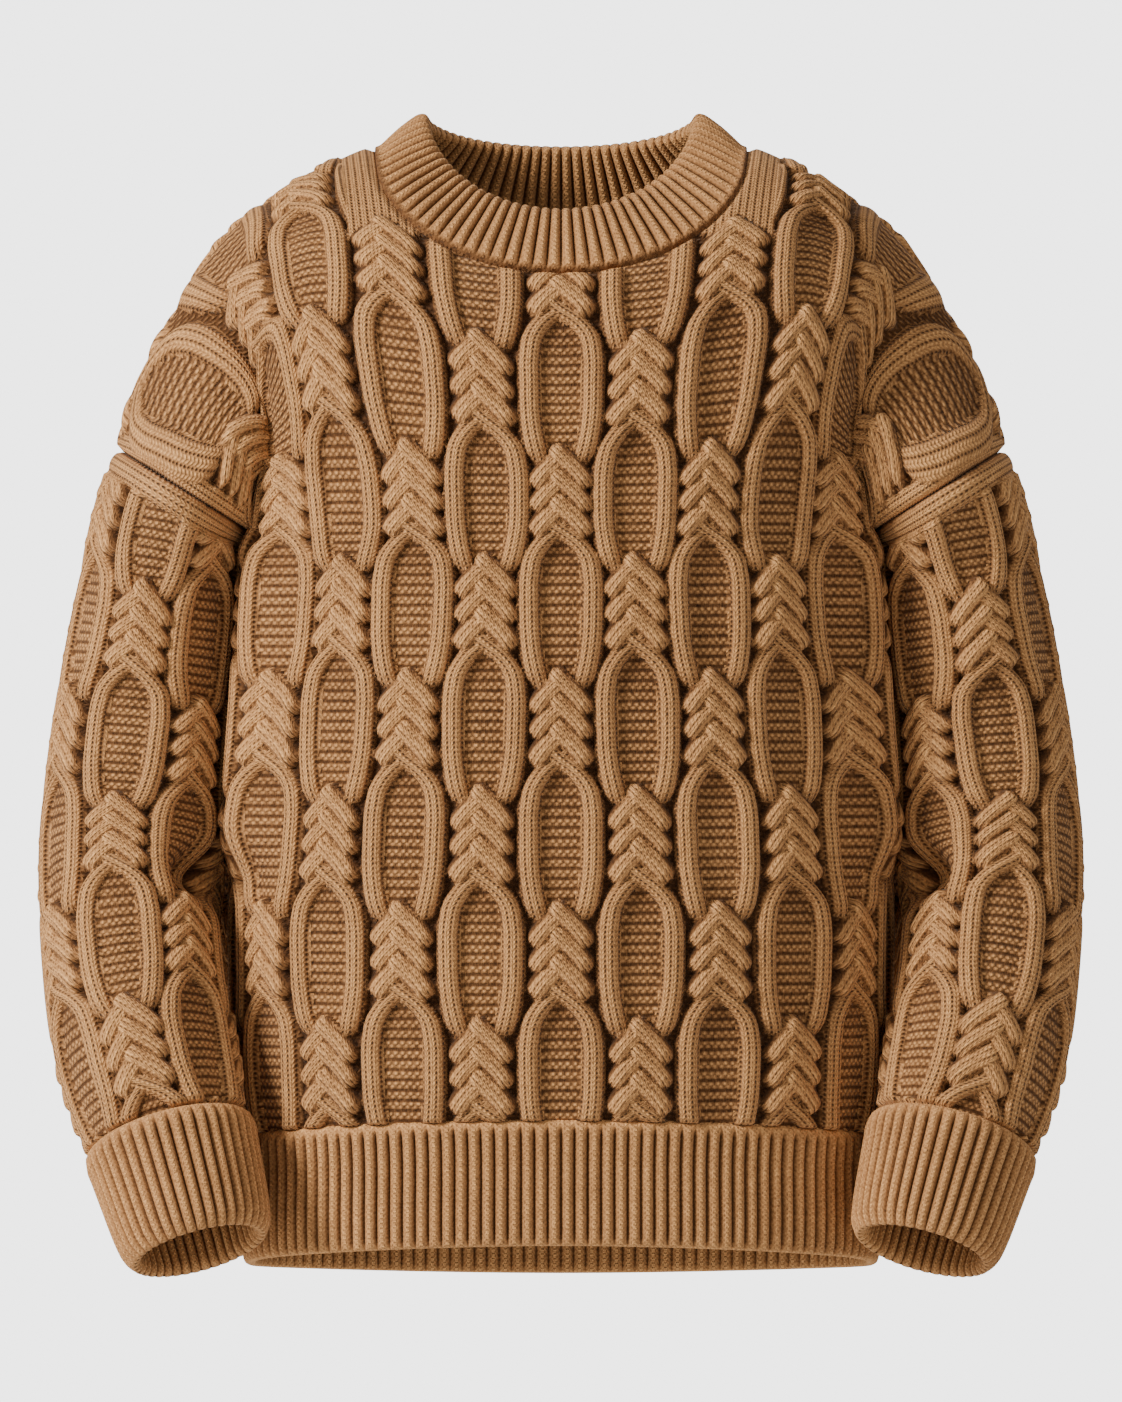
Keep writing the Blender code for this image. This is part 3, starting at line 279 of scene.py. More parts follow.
@dataclass(frozen=True)
class CablePattern:
    """One repeat of a cable column: an eye of two strands, and below it three nested chevrons.

    Every part is a layer with its own height over the ground, and the highest layer shows. The
    right strand and the right arms start left of the middle and lie over the left ones.
    """

    pitch: float = 0.047
    narrowest: float = 0.92
    spread: float = 0.10
    repeat: float = 0.139
    eye_length: float = 0.0935
    step: float = 0.0148
    chevrons: int = 3
    last_drop: float = 0.0014
    last_breadth: float = 1.16
    lap: float = 0.0030
    reach: float = 0.0196
    arm_slope: float = 1.00
    arm_curl: float = 0.20
    arm_half_width: float = 0.0065
    arm_height: float = 0.0084
    arm_lean: float = 0.12
    arm_wale: float = 0.0031
    arm_power: float = 2.2
    over_start: float = 0.0012
    under_start: float = 0.0004
    start_rounding: float = 0.0050
    crossing_lift: float = 0.0006
    crossing_reach: float = 0.006
    strand_half_width: float = 0.0072
    strand_height: float = 0.0072
    strand_power: float = 2.5
    strand_end: float = 0.0850
    strand_rounding: float = 0.0140
    tip_rounding: float = 0.0130
    tip_share: float = 0.72
    tip_length: float = 0.020
    tip_reach: float = 0.012
    tip_sink: float = 0.0020
    floor: float = 0.0012
    floor_fade: float = 0.003
    floor_length: float = 0.106
    wale: float = 0.0041
    row: float = 0.0029
    floor_wale: float = 0.0044
    ridge: float = 0.0061
    path: tuple = (
        # below_tip, half_spacing
        (0.000, 0.0000),
        (0.009, 0.0100),
        (0.018, 0.0160),
        (0.030, 0.0186),
        (0.050, 0.0191),
        (0.072, 0.0181),
        (0.086, 0.0158),
        (0.100, 0.0120),
    )
    path_steps: int = 200
    # Painted shade of each layer, darker where it is low and, as painted shadow, along an arm's edge
    # that lies under the arm above: where it is low, and its gain up to where it is high
    ground_light: float = 0.05
    floor_light: tuple = (0.50, 0.30)
    floor_light_length: float = 0.045
    strand_light: tuple = (0.40, 0.55)
    arm_light: tuple = (0.44, 0.42)
    tucked_shadow: tuple = (0.30, 0.70)
    tucked_shadow_share: float = 0.40

    @property
    def layers(self) -> list[tuple]:
        """The layers over the ground: a part's name, its hand, and its tip's or middle's place."""
        arms = [("arm", self.eye_length + k * self.step) for k in range(self.chevrons - 1)]
        last = self.eye_length + (self.chevrons - 1) * self.step + self.last_drop
        lasts = [("last_arm", last), ("last_arm", last - self.repeat)]
        parts = [("strand", 0.0), ("strand", self.repeat), *arms, *lasts]
        pairs = [(part, hand, place) for part, place in parts for hand in (-1.0, 1.0)]
        return [("floor", 1.0, 0.0), *pairs]

    @property
    def first_arm(self) -> int:
        """The number of the first layer that is an arm."""
        return 1 + next(number for number, layer in enumerate(self.layers) if layer[0] == "arm")

    def spacing(self, below: np.ndarray) -> tuple[np.ndarray, np.ndarray, np.ndarray]:
        """Follows an eye's strand down.

        Args:
            below: distance below the eye's tip, less than 0 above it.

        Returns:
            The strand's distance from the column's middle, that distance's slope, and the length
            along the strand. Above the tip the strand goes on at 45 degrees.
        """
        table = np.array(self.path)
        rows = np.linspace(table[0, 0], table[-1, 0], self.path_steps)
        half = smooth(table[:, 0], table[:, 1], rows)
        slopes = np.gradient(half, rows)
        lengths = np.concatenate(((0.0,), np.cumsum(np.hypot(np.diff(rows), np.diff(half)))))
        above = below < 0.0
        past = np.maximum(below - rows[-1], 0.0)
        spacing = np.where(above, below, np.interp(below, rows, half))
        slope = np.where(above, 1.0, np.interp(below, rows, slopes))
        along = np.where(above, np.sqrt(2.0) * below, np.interp(below, rows, lengths) + past)
        return spacing, slope, along

    def strand(self, across: np.ndarray, below: np.ndarray, hand: float) -> tuple[np.ndarray, ...]:
        """Reads one strand of an eye, a rounded band about its path.

        Args:
            across: distance from the column's middle.
            below: distance below the eye's tip.
            hand: -1 for the left strand and 1 for the right one.

        Returns:
            The height, the distance from the strand's middle and the length along it.
        """
        near_tip = np.exp(-((below / self.tip_reach) ** 2))
        side = hand * across + (self.lap * near_tip if hand > 0.0 else 0.0)
        spacing, slope, along = self.spacing(below)
        off = (side - spacing) / np.sqrt(1.0 + slope * slope)
        narrowed = np.exp(-((np.maximum(below, 0.0) / self.tip_length) ** 2))
        wide = 1.0 - (1.0 - self.tip_share) * narrowed
        band = 1.0 - np.abs(off / (self.strand_half_width * wide)) ** self.strand_power
        tail = np.clip((below - self.strand_end) / self.strand_rounding, 0.0, 1.0)
        head = np.clip(-along / self.tip_rounding, 0.0, 1.0)
        height = self.strand_height * np.sqrt(np.clip(band - tail * tail - head * head, 0.0, 1.0))
        sink = 0.0 if hand > 0.0 else -self.tip_sink
        tuck = np.where(height > 0.0, sink * near_tip, 0.0)
        return height + tuck, off, along

    def arm(
        self, across: np.ndarray, below: np.ndarray, hand: float, part: str
    ) -> tuple[np.ndarray, ...]:
        """Reads one arm of a chevron, a round rope that bends down a little and has a round end.

        Args:
            across: distance from the column's middle.
            below: distance below the arm's middle line at the column's middle.
            hand: -1 for a left arm and 1 for a right one.
            part: "arm", or "last_arm" for the broad one over the next eye.

        Returns:
            The height, the distance from the arm's middle and the length along it.
        """
        lap = self.lap if hand > 0.0 else 0.0
        side = hand * across + lap
        end = self.reach + lap - self.arm_half_width
        bend = np.maximum(side - 0.5 * end, 0.0) / (0.5 * end)
        drop = self.arm_slope * side + self.arm_curl * 0.5 * end * bend * bend
        stretch = np.sqrt(1.0 + (self.arm_slope + 2.0 * self.arm_curl * bend) ** 2)
        off = (below + lap - drop) / stretch
        t = off / (self.arm_half_width * (self.last_breadth if part == "last_arm" else 1.0))
        end_slope = self.arm_slope + 2.0 * self.arm_curl
        end_drop = (self.arm_slope + 0.5 * self.arm_curl) * end
        past = (side - end + (below + lap - end_drop) * end_slope) / np.sqrt(1.0 + end_slope**2)
        past = np.maximum(past / self.arm_half_width, 0.0)
        begun = (side + (below + lap) * self.arm_slope) / np.sqrt(1.0 + self.arm_slope**2)
        begins = self.over_start if hand > 0.0 else self.under_start
        start = np.maximum((begins - begun) / self.start_rounding, 0.0)
        body = 1.0 - np.abs(t) ** self.arm_power - past**self.arm_power - start * start
        height = self.arm_height * np.sqrt(np.clip(body, 0.0, 1.0))
        height = height * (1.0 + self.arm_lean * np.clip(t, -1.0, 1.0))
        lift = self.crossing_lift if hand > 0.0 else -self.crossing_lift
        near_crossing = np.exp(-((side / self.crossing_reach) ** 2))
        tuck = np.where(height > 0.0, lift * near_crossing, 0.0)
        return height + tuck, off, side * np.sqrt(1.0 + self.arm_slope**2)

    def read(self, across: np.ndarray, below: np.ndarray) -> tuple[np.ndarray, ...]:
        """Reads the relief of a cable column.

        Args:
            across: distance from the column's middle.
            below: distance below the tip of any eye of the column.

        Returns:
            The height over the ground, the layer that shows, counted from 1 with 0 for the
            ground, and its painted shade, from 0, dark, in a groove to 1 on a crest, with painted
            shadow along an arm's edge that lies under the arm above.
        """
        below = np.mod(below, self.repeat)
        height = np.zeros(np.shape(across))
        layer = np.zeros(np.shape(across), int)
        # light is painted shade: darkest on the ground between the cables, darker where a layer is
        # low
        light = np.full(np.shape(across), self.ground_light)
        for number, (part, hand, place) in enumerate(self.layers, start=1):
            down = below - place
            if part == "floor":
                spacing = self.spacing(down)[0]
                inside = (np.abs(across) < spacing) & (down < self.floor_length)
                rim_share = ramp((spacing - np.abs(across)) / self.floor_fade)
                here = np.where(inside, self.floor * rim_share, 0.0)
                low, gain = self.floor_light
                shade = low + gain * ramp(down / self.floor_light_length)
            elif part == "strand":
                here = self.strand(across, down, hand)[0]
                low, gain = self.strand_light
                shade = low + gain * np.clip(here / self.strand_height, 0.0, 1.0)
            else:
                here, off, _ = self.arm(across, down, hand, part)
                low, gain = self.arm_light
                shade = low + gain * np.clip(here / self.arm_height, 0.0, 1.0)
                # painted shadow that the arm above casts on this arm's covered edge
                low, gain = self.tucked_shadow
                tucked = ramp((off / self.arm_half_width + 1.0) / self.tucked_shadow_share)
                shade = shade * (low + gain * tucked)
            higher = here > height
            height = np.where(higher, here, height)
            layer = np.where(higher, number, layer)
            light = np.where(higher, shade, light)
        return height, layer, light

    def thread(
        self, layer: np.ndarray, across: np.ndarray, below: np.ndarray, v: np.ndarray
    ) -> np.ndarray:
        """Counts stitches in a patch.

        A strand's wales run along its path, an arm's along its own slant, and the floor's and the
        ground's straight up.

        Args:
            layer: the layer that shows, the same at all corners of a face.
            across: distance from the column's middle.
            below: distance below the tip that the face's middle takes.
            v: height above the rib.

        Returns:
            Wale and row, as the last axis.
        """
        stitches = np.stack((across / self.wale, v / self.row), axis=-1)
        for number, (part, hand, place) in enumerate(self.layers, start=1):
            here = layer == number
            if not here.any():
                continue
            x, down = across[here], below[here] - place
            if part == "floor":
                pair = (x / self.floor_wale, down / self.ridge)
            elif part == "strand":
                _, off, along = self.strand(x, down, hand)
                pair = (off / self.wale + 0.5, along / self.row)
            else:
                _, off, along = self.arm(x, down, hand, part)
                broad = self.last_breadth if part == "last_arm" else 1.0
                pair = (off / (self.arm_wale * broad) + 0.5, along / self.row)
            stitches[here] = np.stack(pair, axis=-1)
        return stitches


@dataclass(frozen=True)
class CableField:
    """The cable columns side by side on one piece."""

    pattern: CablePattern
    lowest_apex: float
    phase: float
    last_column: int

    def across(self, n: np.ndarray, column: np.ndarray, pitch: np.ndarray) -> np.ndarray:
        """Returns the distance from a column's middle on the pattern.

        Where the columns lie further apart than they are knitted, the pattern widens with them.
        """
        knitted = self.pattern.pitch
        wide = np.maximum(pitch / knitted, 1.0) ** self.pattern.spread
        return (n - column) * np.minimum(pitch, knitted) * wide

    def choose(self, n: np.ndarray, v: np.ndarray, pitch: np.ndarray) -> tuple[np.ndarray, ...]:
        """Reads the relief from the two columns beside each point, and keeps the higher.

        Args:
            n: column coordinate.
            v: height above the rib.
            pitch: distance between columns there.

        Returns:
            The height, the layer, the painted shade, the column, and the height of the eye's tip.
        """
        readings = []
        for side in (0, 1):
            column = np.clip(np.floor(n) + side, -self.last_column, self.last_column)
            apex = self.lowest_apex + 0.5 * self.pattern.repeat * np.mod(column + self.phase, 2.0)
            height, layer, light = self.pattern.read(self.across(n, column, pitch), apex - v)
            tip = v + np.mod(apex - v, self.pattern.repeat)
            readings.append((height, layer, light, column, tip))
        left, right = readings
        higher = right[0] > left[0]
        return tuple(np.where(higher, b, a) for a, b in zip(left, right))

    def stitches(self, n: np.ndarray, v: np.ndarray, pitch: np.ndarray, faces: np.ndarray) -> tuple:
        """Counts the stitches on a grid's faces.

        Args:
            n: column coordinate of each point.
            v: height of each point.
            pitch: distance between columns at each point.
            faces: the corners' point numbers.

        Returns:
            Wale and row of each corner, and the kind of stitch that each face shows: -1 for the
            arms' close knit, 0 for knit, 1 for an eye's floor and 2 for the ground.
        """
        flat_n, flat_v, flat_pitch = (part.ravel() for part in (n, v, pitch))
        corner_n, corner_v, corner_pitch = flat_n[faces], flat_v[faces], flat_pitch[faces]
        middle = (corner_n.mean(axis=1), corner_v.mean(axis=1), corner_pitch.mean(axis=1))
        _, layer, _, column, tip = self.choose(*middle)
        across = self.across(corner_n, column[:, None], corner_pitch)
        layers = np.broadcast_to(layer[:, None], faces.shape)
        stitches = self.pattern.thread(layers, across, tip[:, None] - corner_v, corner_v)
        rope = np.where(layer >= self.pattern.first_arm, -1.0, 0.0)
        return stitches, np.where(layer == 0, 2.0, np.where(layer == 1, 1.0, rope))


PATTERN = CablePattern()


def plain_stitches(across: np.ndarray, along: np.ndarray) -> np.ndarray:
    """Returns wale and row of plain knitting, one row for each point, from two distances."""
    return np.stack((across / PATTERN.wale, along / PATTERN.row), axis=-1).reshape(-1, 2)


# ---------------------------------------------------------------- body


@dataclass
class BodyForm:
    """The ground surface of the front and the back, without the cables.

    Below the underarm it is a stack of squared ellipses, |x/a|^q + |y/b|^q = 1, whose columns lie
    at equal steps of the way round. Above the underarm each column is two cubics, over a point at
    chest or arm level to the shoulder line.
    """

    columns: float = 5.5
    squareness: float = 2.4
    hem_z: float = -0.586
    hem_drop_side: float = 0.016
    hem_drop_back: float = 0.027
    underarm_z: float = -0.232
    arch_radius: float = 0.009
    arch_from: float = 4.8
    neck_half_width: float = 0.113
    neck_front_drop: float = 0.078
    neck_back: float = 0.075
    neck_column: float = 2.0
    typical: tuple = (0.190, 0.120, 0.110)
    bulges: dict = field(
        default_factory=lambda: {
            # reach, foot_z
            Side.FRONT: (0.014, -0.445),
            Side.BACK: (0.0185, -0.560),
        }
    )
    bulge_deg: float = 36.0
    bulge_top: float = -0.212
    bulge_ends: float = 0.036
    measured_columns: int = 89
    measured_steps: int = 41
    neck_steps: int = 241
    way_steps: int = 400
    step_n: float = 0.02
    step_v: float = 0.001
    pitch_step: float = 0.1
    widest: float = 2.2
    seam_step: float = 0.01
    sections: np.ndarray = field(
        default_factory=lambda: np.array(
            [
                # z, half_width, front_depth, back_depth
                (-0.700, 0.1890, 0.1150, 0.1030),
                (-0.650, 0.1900, 0.1170, 0.1045),
                (-0.602, 0.1900, 0.1185, 0.1060),
                (-0.578, 0.1930, 0.1200, 0.1080),
                (-0.517, 0.1955, 0.1215, 0.1100),
                (-0.456, 0.1960, 0.1220, 0.1110),
                (-0.395, 0.1915, 0.1215, 0.1110),
                (-0.334, 0.1870, 0.1205, 0.1110),
                (-0.273, 0.1825, 0.1195, 0.1110),
                (-0.232, 0.1800, 0.1185, 0.1110),
                (-0.190, 0.1790, 0.1170, 0.1100),
            ]
        )
    )
    front_columns: np.ndarray = field(
        default_factory=lambda: np.array(
            [
                # column, mid_x, mid_y, mid_z, top_x, top_z, rise_x, rise_y, rise_z, over, swing
                (0.0, 0.000, -0.095, -0.082, 0.000, 0.012, 0.000, -0.004, 0.150, 0.130, 0.50),
                (1.0, 0.051, -0.094, -0.079, 0.057, 0.009, 0.000, -0.004, 0.150, 0.130, 0.50),
                (2.0, 0.103, -0.087, -0.073, 0.113, 0.000, 0.002, -0.002, 0.150, 0.120, 0.50),
                (3.0, 0.151, -0.077, -0.078, 0.156, -0.022, 0.002, 0.002, 0.145, 0.110, 0.50),
                (4.0, 0.178, -0.062, -0.118, 0.205, -0.060, -0.004, -0.004, 0.110, 0.100, 0.55),
                (4.5, 0.181, -0.050, -0.146, 0.230, -0.097, -0.004, -0.012, 0.085, 0.095, 0.60),
                (5.0, 0.200, -0.064, -0.168, 0.252, -0.141, 0.005, -0.060, 0.055, 0.100, 0.65),
                (5.5, 0.227, -0.074, -0.208, 0.267, -0.183, 0.000, -0.110, 0.000, 0.115, 0.80),
            ]
        )
    )
    back_columns: np.ndarray = field(
        default_factory=lambda: np.array(
            [
                # column, mid_x, mid_y, mid_z, top_x, top_z, rise_x, rise_y, rise_z, over, swing
                (0.0, 0.000, 0.101, -0.095, 0.000, 0.012, 0.000, 0.004, 0.140, -0.130, 0.50),
                (1.0, 0.051, 0.099, -0.092, 0.057, 0.009, 0.000, 0.004, 0.140, -0.130, 0.50),
                (2.0, 0.103, 0.091, -0.083, 0.113, 0.000, 0.002, 0.002, 0.145, -0.120, 0.50),
                (3.0, 0.151, 0.077, -0.084, 0.156, -0.022, 0.002, -0.002, 0.140, -0.110, 0.50),
                (4.0, 0.180, 0.061, -0.118, 0.205, -0.060, -0.002, 0.004, 0.110, -0.100, 0.55),
                (4.5, 0.185, 0.053, -0.146, 0.230, -0.097, -0.002, 0.012, 0.085, -0.095, 0.60),
                (5.0, 0.201, 0.064, -0.168, 0.252, -0.141, 0.005, 0.060, 0.055, -0.100, 0.65),
                (5.5, 0.227, 0.074, -0.208, 0.267, -0.183, 0.000, 0.110, 0.000, -0.115, 0.80),
            ]
        )
    )

    def __post_init__(self) -> None:
        """Measures the way round a typical section and the length of each column."""
        half_width, front, back = self.typical
        self.ways = {
            Side.FRONT: self.way_round(half_width, front),
            Side.BACK: self.way_round(half_width, back),
        }
        self.underarm_v = self.underarm_z - self.hem_z
        self.lengths = {side: self.column_lengths(side) for side in Side}

    def way_round(self, half_width: float, depth: float) -> tuple[np.ndarray, np.ndarray]:
        """Returns shares of the way round a section's first quarter, and the angles there."""
        angle = np.linspace(0.0, 0.5 * np.pi, self.way_steps)
        x = half_width * np.sin(angle) ** (2.0 / self.squareness)
        y = depth * np.clip(np.cos(angle), 0.0, 1.0) ** (2.0 / self.squareness)
        way = np.concatenate(((0.0,), np.cumsum(np.hypot(np.diff(x), np.diff(y)))))
        return way / way[-1], angle

    def section(self, n: np.ndarray, z: np.ndarray, side: Side) -> np.ndarray:
        """Returns points of the horizontal section at z.

        The squared ellipse flares out to the underarm's arch, and swells beside the arm by a
        squared sine of the angle that fades out towards the underarm and towards its foot.
        """
        row = smooth(self.sections[:, 0], self.sections[:, 1:], z)
        half_width, front, rear = np.moveaxis(row, -1, 0)
        angle = np.interp(np.abs(n) / self.columns, *self.ways[side])
        curl = np.clip((z - (self.underarm_z - self.arch_radius)) / self.arch_radius, 0.0, 1.0)
        share = np.clip((np.abs(n) - self.arch_from) / (self.columns - self.arch_from), 0.0, 1.0)
        flare = self.arch_radius * (1.0 - np.sqrt(1.0 - curl * curl)) * share * share
        reach, foot = self.bulges[side]
        place = np.clip((0.5 * np.pi - angle) / np.radians(self.bulge_deg), 0.0, 1.0)
        high = ramp((self.bulge_top - z) / self.bulge_ends) * ramp((z - foot) / self.bulge_ends)
        bulge = reach * high * np.sin(np.pi * place) ** 2
        x = np.sign(n) * (half_width * np.sin(angle) ** (2.0 / self.squareness) + flare + bulge)
        depth = rear if side is Side.BACK else -front
        y = depth * np.clip(np.cos(angle), 0.0, 1.0) ** (2.0 / self.squareness)
        return np.stack((x, y, np.broadcast_to(z, np.shape(x))), axis=-1)

    def upper(self, n: np.ndarray, t: np.ndarray, side: Side) -> np.ndarray:
        """Returns points above the underarm, t from 0 there to 1 at the shoulder line."""
        table = self.back_columns if side is Side.BACK else self.front_columns
        row = smooth(table[:, 0], table[:, 1:], np.abs(n))
        flip = np.where(n < 0.0, -1.0, 1.0)
        mirror = np.stack((flip, np.ones_like(flip), np.ones_like(flip)), axis=-1)
        start = self.section(n, np.full(np.shape(n), self.underarm_z), side)
        middle = row[..., 0:3] * mirror
        top = np.stack((row[..., 3] * flip, np.zeros_like(flip), row[..., 4]), axis=-1)
        rise = row[..., 5:8] * mirror
        over = np.stack((np.zeros_like(flip), row[..., 8], np.zeros_like(flip)), axis=-1)
        swing = (top - start) * row[..., 9:10]
        t = np.asarray(t)[..., None]
        lower = hermite(np.clip(2.0 * t, 0.0, 1.0), start, middle, rise, swing)
        upper = hermite(np.clip(2.0 * t - 1.0, 0.0, 1.0), middle, top, swing, over)
        return np.where(t < 0.5, lower, upper)

    def column_lengths(self, side: Side) -> tuple[np.ndarray, np.ndarray]:
        """Returns a fine row of columns and each one's length above the underarm."""
        columns = np.linspace(-self.columns, self.columns, self.measured_columns)
        n, t = np.meshgrid(columns, np.linspace(0.0, 1.0, self.measured_steps), indexing="ij")
        steps = np.linalg.norm(np.diff(self.upper(n, t, side), axis=1), axis=-1)
        return columns, steps.sum(axis=1)

    def top_v(self, n: np.ndarray, side: Side) -> np.ndarray:
        """Returns the height of the shoulder line."""
        return self.underarm_v + np.interp(n, *self.lengths[side])

    def hem_v(self, n: np.ndarray, side: Side) -> np.ndarray:
        """Returns the height of the hem seam, 0 at the middle of the front."""
        turn = np.abs(n) / self.columns
        if side is Side.BACK:
            return -self.hem_drop_back + (self.hem_drop_back - self.hem_drop_side) * turn**2
        return -self.hem_drop_side * turn**2

    def point(self, n: np.ndarray, v: np.ndarray, side: Side) -> np.ndarray:
        """Returns points of the ground surface."""
        low = self.section(n, self.hem_z + np.minimum(v, self.underarm_v), side)
        t = np.clip((v - self.underarm_v) / (self.top_v(n, side) - self.underarm_v), 0.0, 1.0)
        return np.where((v <= self.underarm_v)[..., None], low, self.upper(n, t, side))

    def normals(self, n: np.ndarray, v: np.ndarray, side: Side) -> np.ndarray:
        """Returns outward directions, across times up by small differences."""
        low_n = np.maximum(n - self.step_n, -self.columns)
        high_n = np.minimum(n + self.step_n, self.columns)
        across = self.point(high_n, v, side) - self.point(low_n, v, side)
        high_v = np.minimum(v + self.step_v, self.top_v(n, side))
        along = self.point(n, high_v, side) - self.point(n, v - self.step_v, side)
        turned = np.cross(across, along)
        return unit(-turned if side is Side.BACK else turned)

    def pitch(self, n: np.ndarray, v: np.ndarray, side: Side) -> np.ndarray:
        """Returns how far apart the columns lie, kept near their knitted pitch."""
        low_n = np.maximum(n - self.pitch_step, -self.columns)
        high_n = np.minimum(n + self.pitch_step, self.columns)
        reach = np.linalg.norm(self.point(high_n, v, side) - self.point(low_n, v, side), axis=-1)
        least = PATTERN.narrowest * PATTERN.pitch
        return np.clip(reach / (high_n - low_n), least, self.widest * PATTERN.pitch)

    def neck_reach(self, points: np.ndarray, side: Side) -> np.ndarray:
        """Returns how far points lie outside the neck's cut, an ellipse from the front or above."""
        depth = self.neck_back if side is Side.BACK else self.neck_front_drop
        other = points[..., 1 if side is Side.BACK else 2]
        ratio = np.hypot(points[..., 0] / self.neck_half_width, other / depth)
        return (ratio - 1.0) * 0.5 * (self.neck_half_width + depth)

    def neck_v(self, n: np.ndarray, side: Side) -> np.ndarray:
        """Returns the height at which each column meets the neck's cut, or the shoulder line."""
        t = np.linspace(0.0, 1.0, self.neck_steps)
        inner = np.clip(n, -self.neck_column, self.neck_column)
        grid_n, grid_t = np.meshgrid(inner, t, indexing="ij")
        reach = self.neck_reach(self.upper(grid_n, grid_t, side), side)
        reach[:, -1] = np.minimum(reach[:, -1], -1e-9)
        crossing = np.argmax(reach < 0.0, axis=1)
        rows = np.arange(len(n))
        before = reach[rows, crossing - 1]
        share = before / (before - reach[rows, crossing])
        met = t[crossing - 1] + share * (t[1] - t[0])
        shoulder = self.top_v(n, side)
        cut = self.underarm_v + met * (shoulder - self.underarm_v)
        return np.where(np.abs(n) > self.neck_column - ON_EDGE, shoulder, cut)

    def armhole(self, share: np.ndarray, side: Side) -> tuple[np.ndarray, ...]:
        """Works out the -X armhole seam's points, outward and leaving directions, and speed.

        Args:
            share: place along half of the seam, 0 at the underarm and 1 at the shoulder.
            side: which half.

        Returns:
            Three vectors and one number for each share. The direction out is square to the
            seam and to the one in which the sleeve leaves it.
        """
        leaving = np.array(
            [
                # round, x, z, speed
                (0.0, -1.00, 0.00, 0.025),
                (0.5, -0.53, -0.85, 0.060),
                (1.0, -0.33, -0.94, 0.080),
            ]
        )
        edge = np.full(np.shape(share), -self.columns)
        point = self.upper(edge, share, side)
        ahead = self.upper(edge, np.minimum(share + self.seam_step, 1.0), side)
        along = ahead - self.upper(edge, np.maximum(share - self.seam_step, 0.0), side)
        row = smooth(leaving[:, 0], leaving[:, 1:], share)
        leave = np.stack((row[..., 0], np.zeros(np.shape(share)), row[..., 1]), axis=-1)
        out = unit(np.cross(along, leave))
        out = -out if side is Side.BACK else out
        leave = unit(np.cross(out, along))
        leave = np.where(leave[..., 0:1] > 0.0, -leave, leave)
        return point, out, leave, row[..., 2]


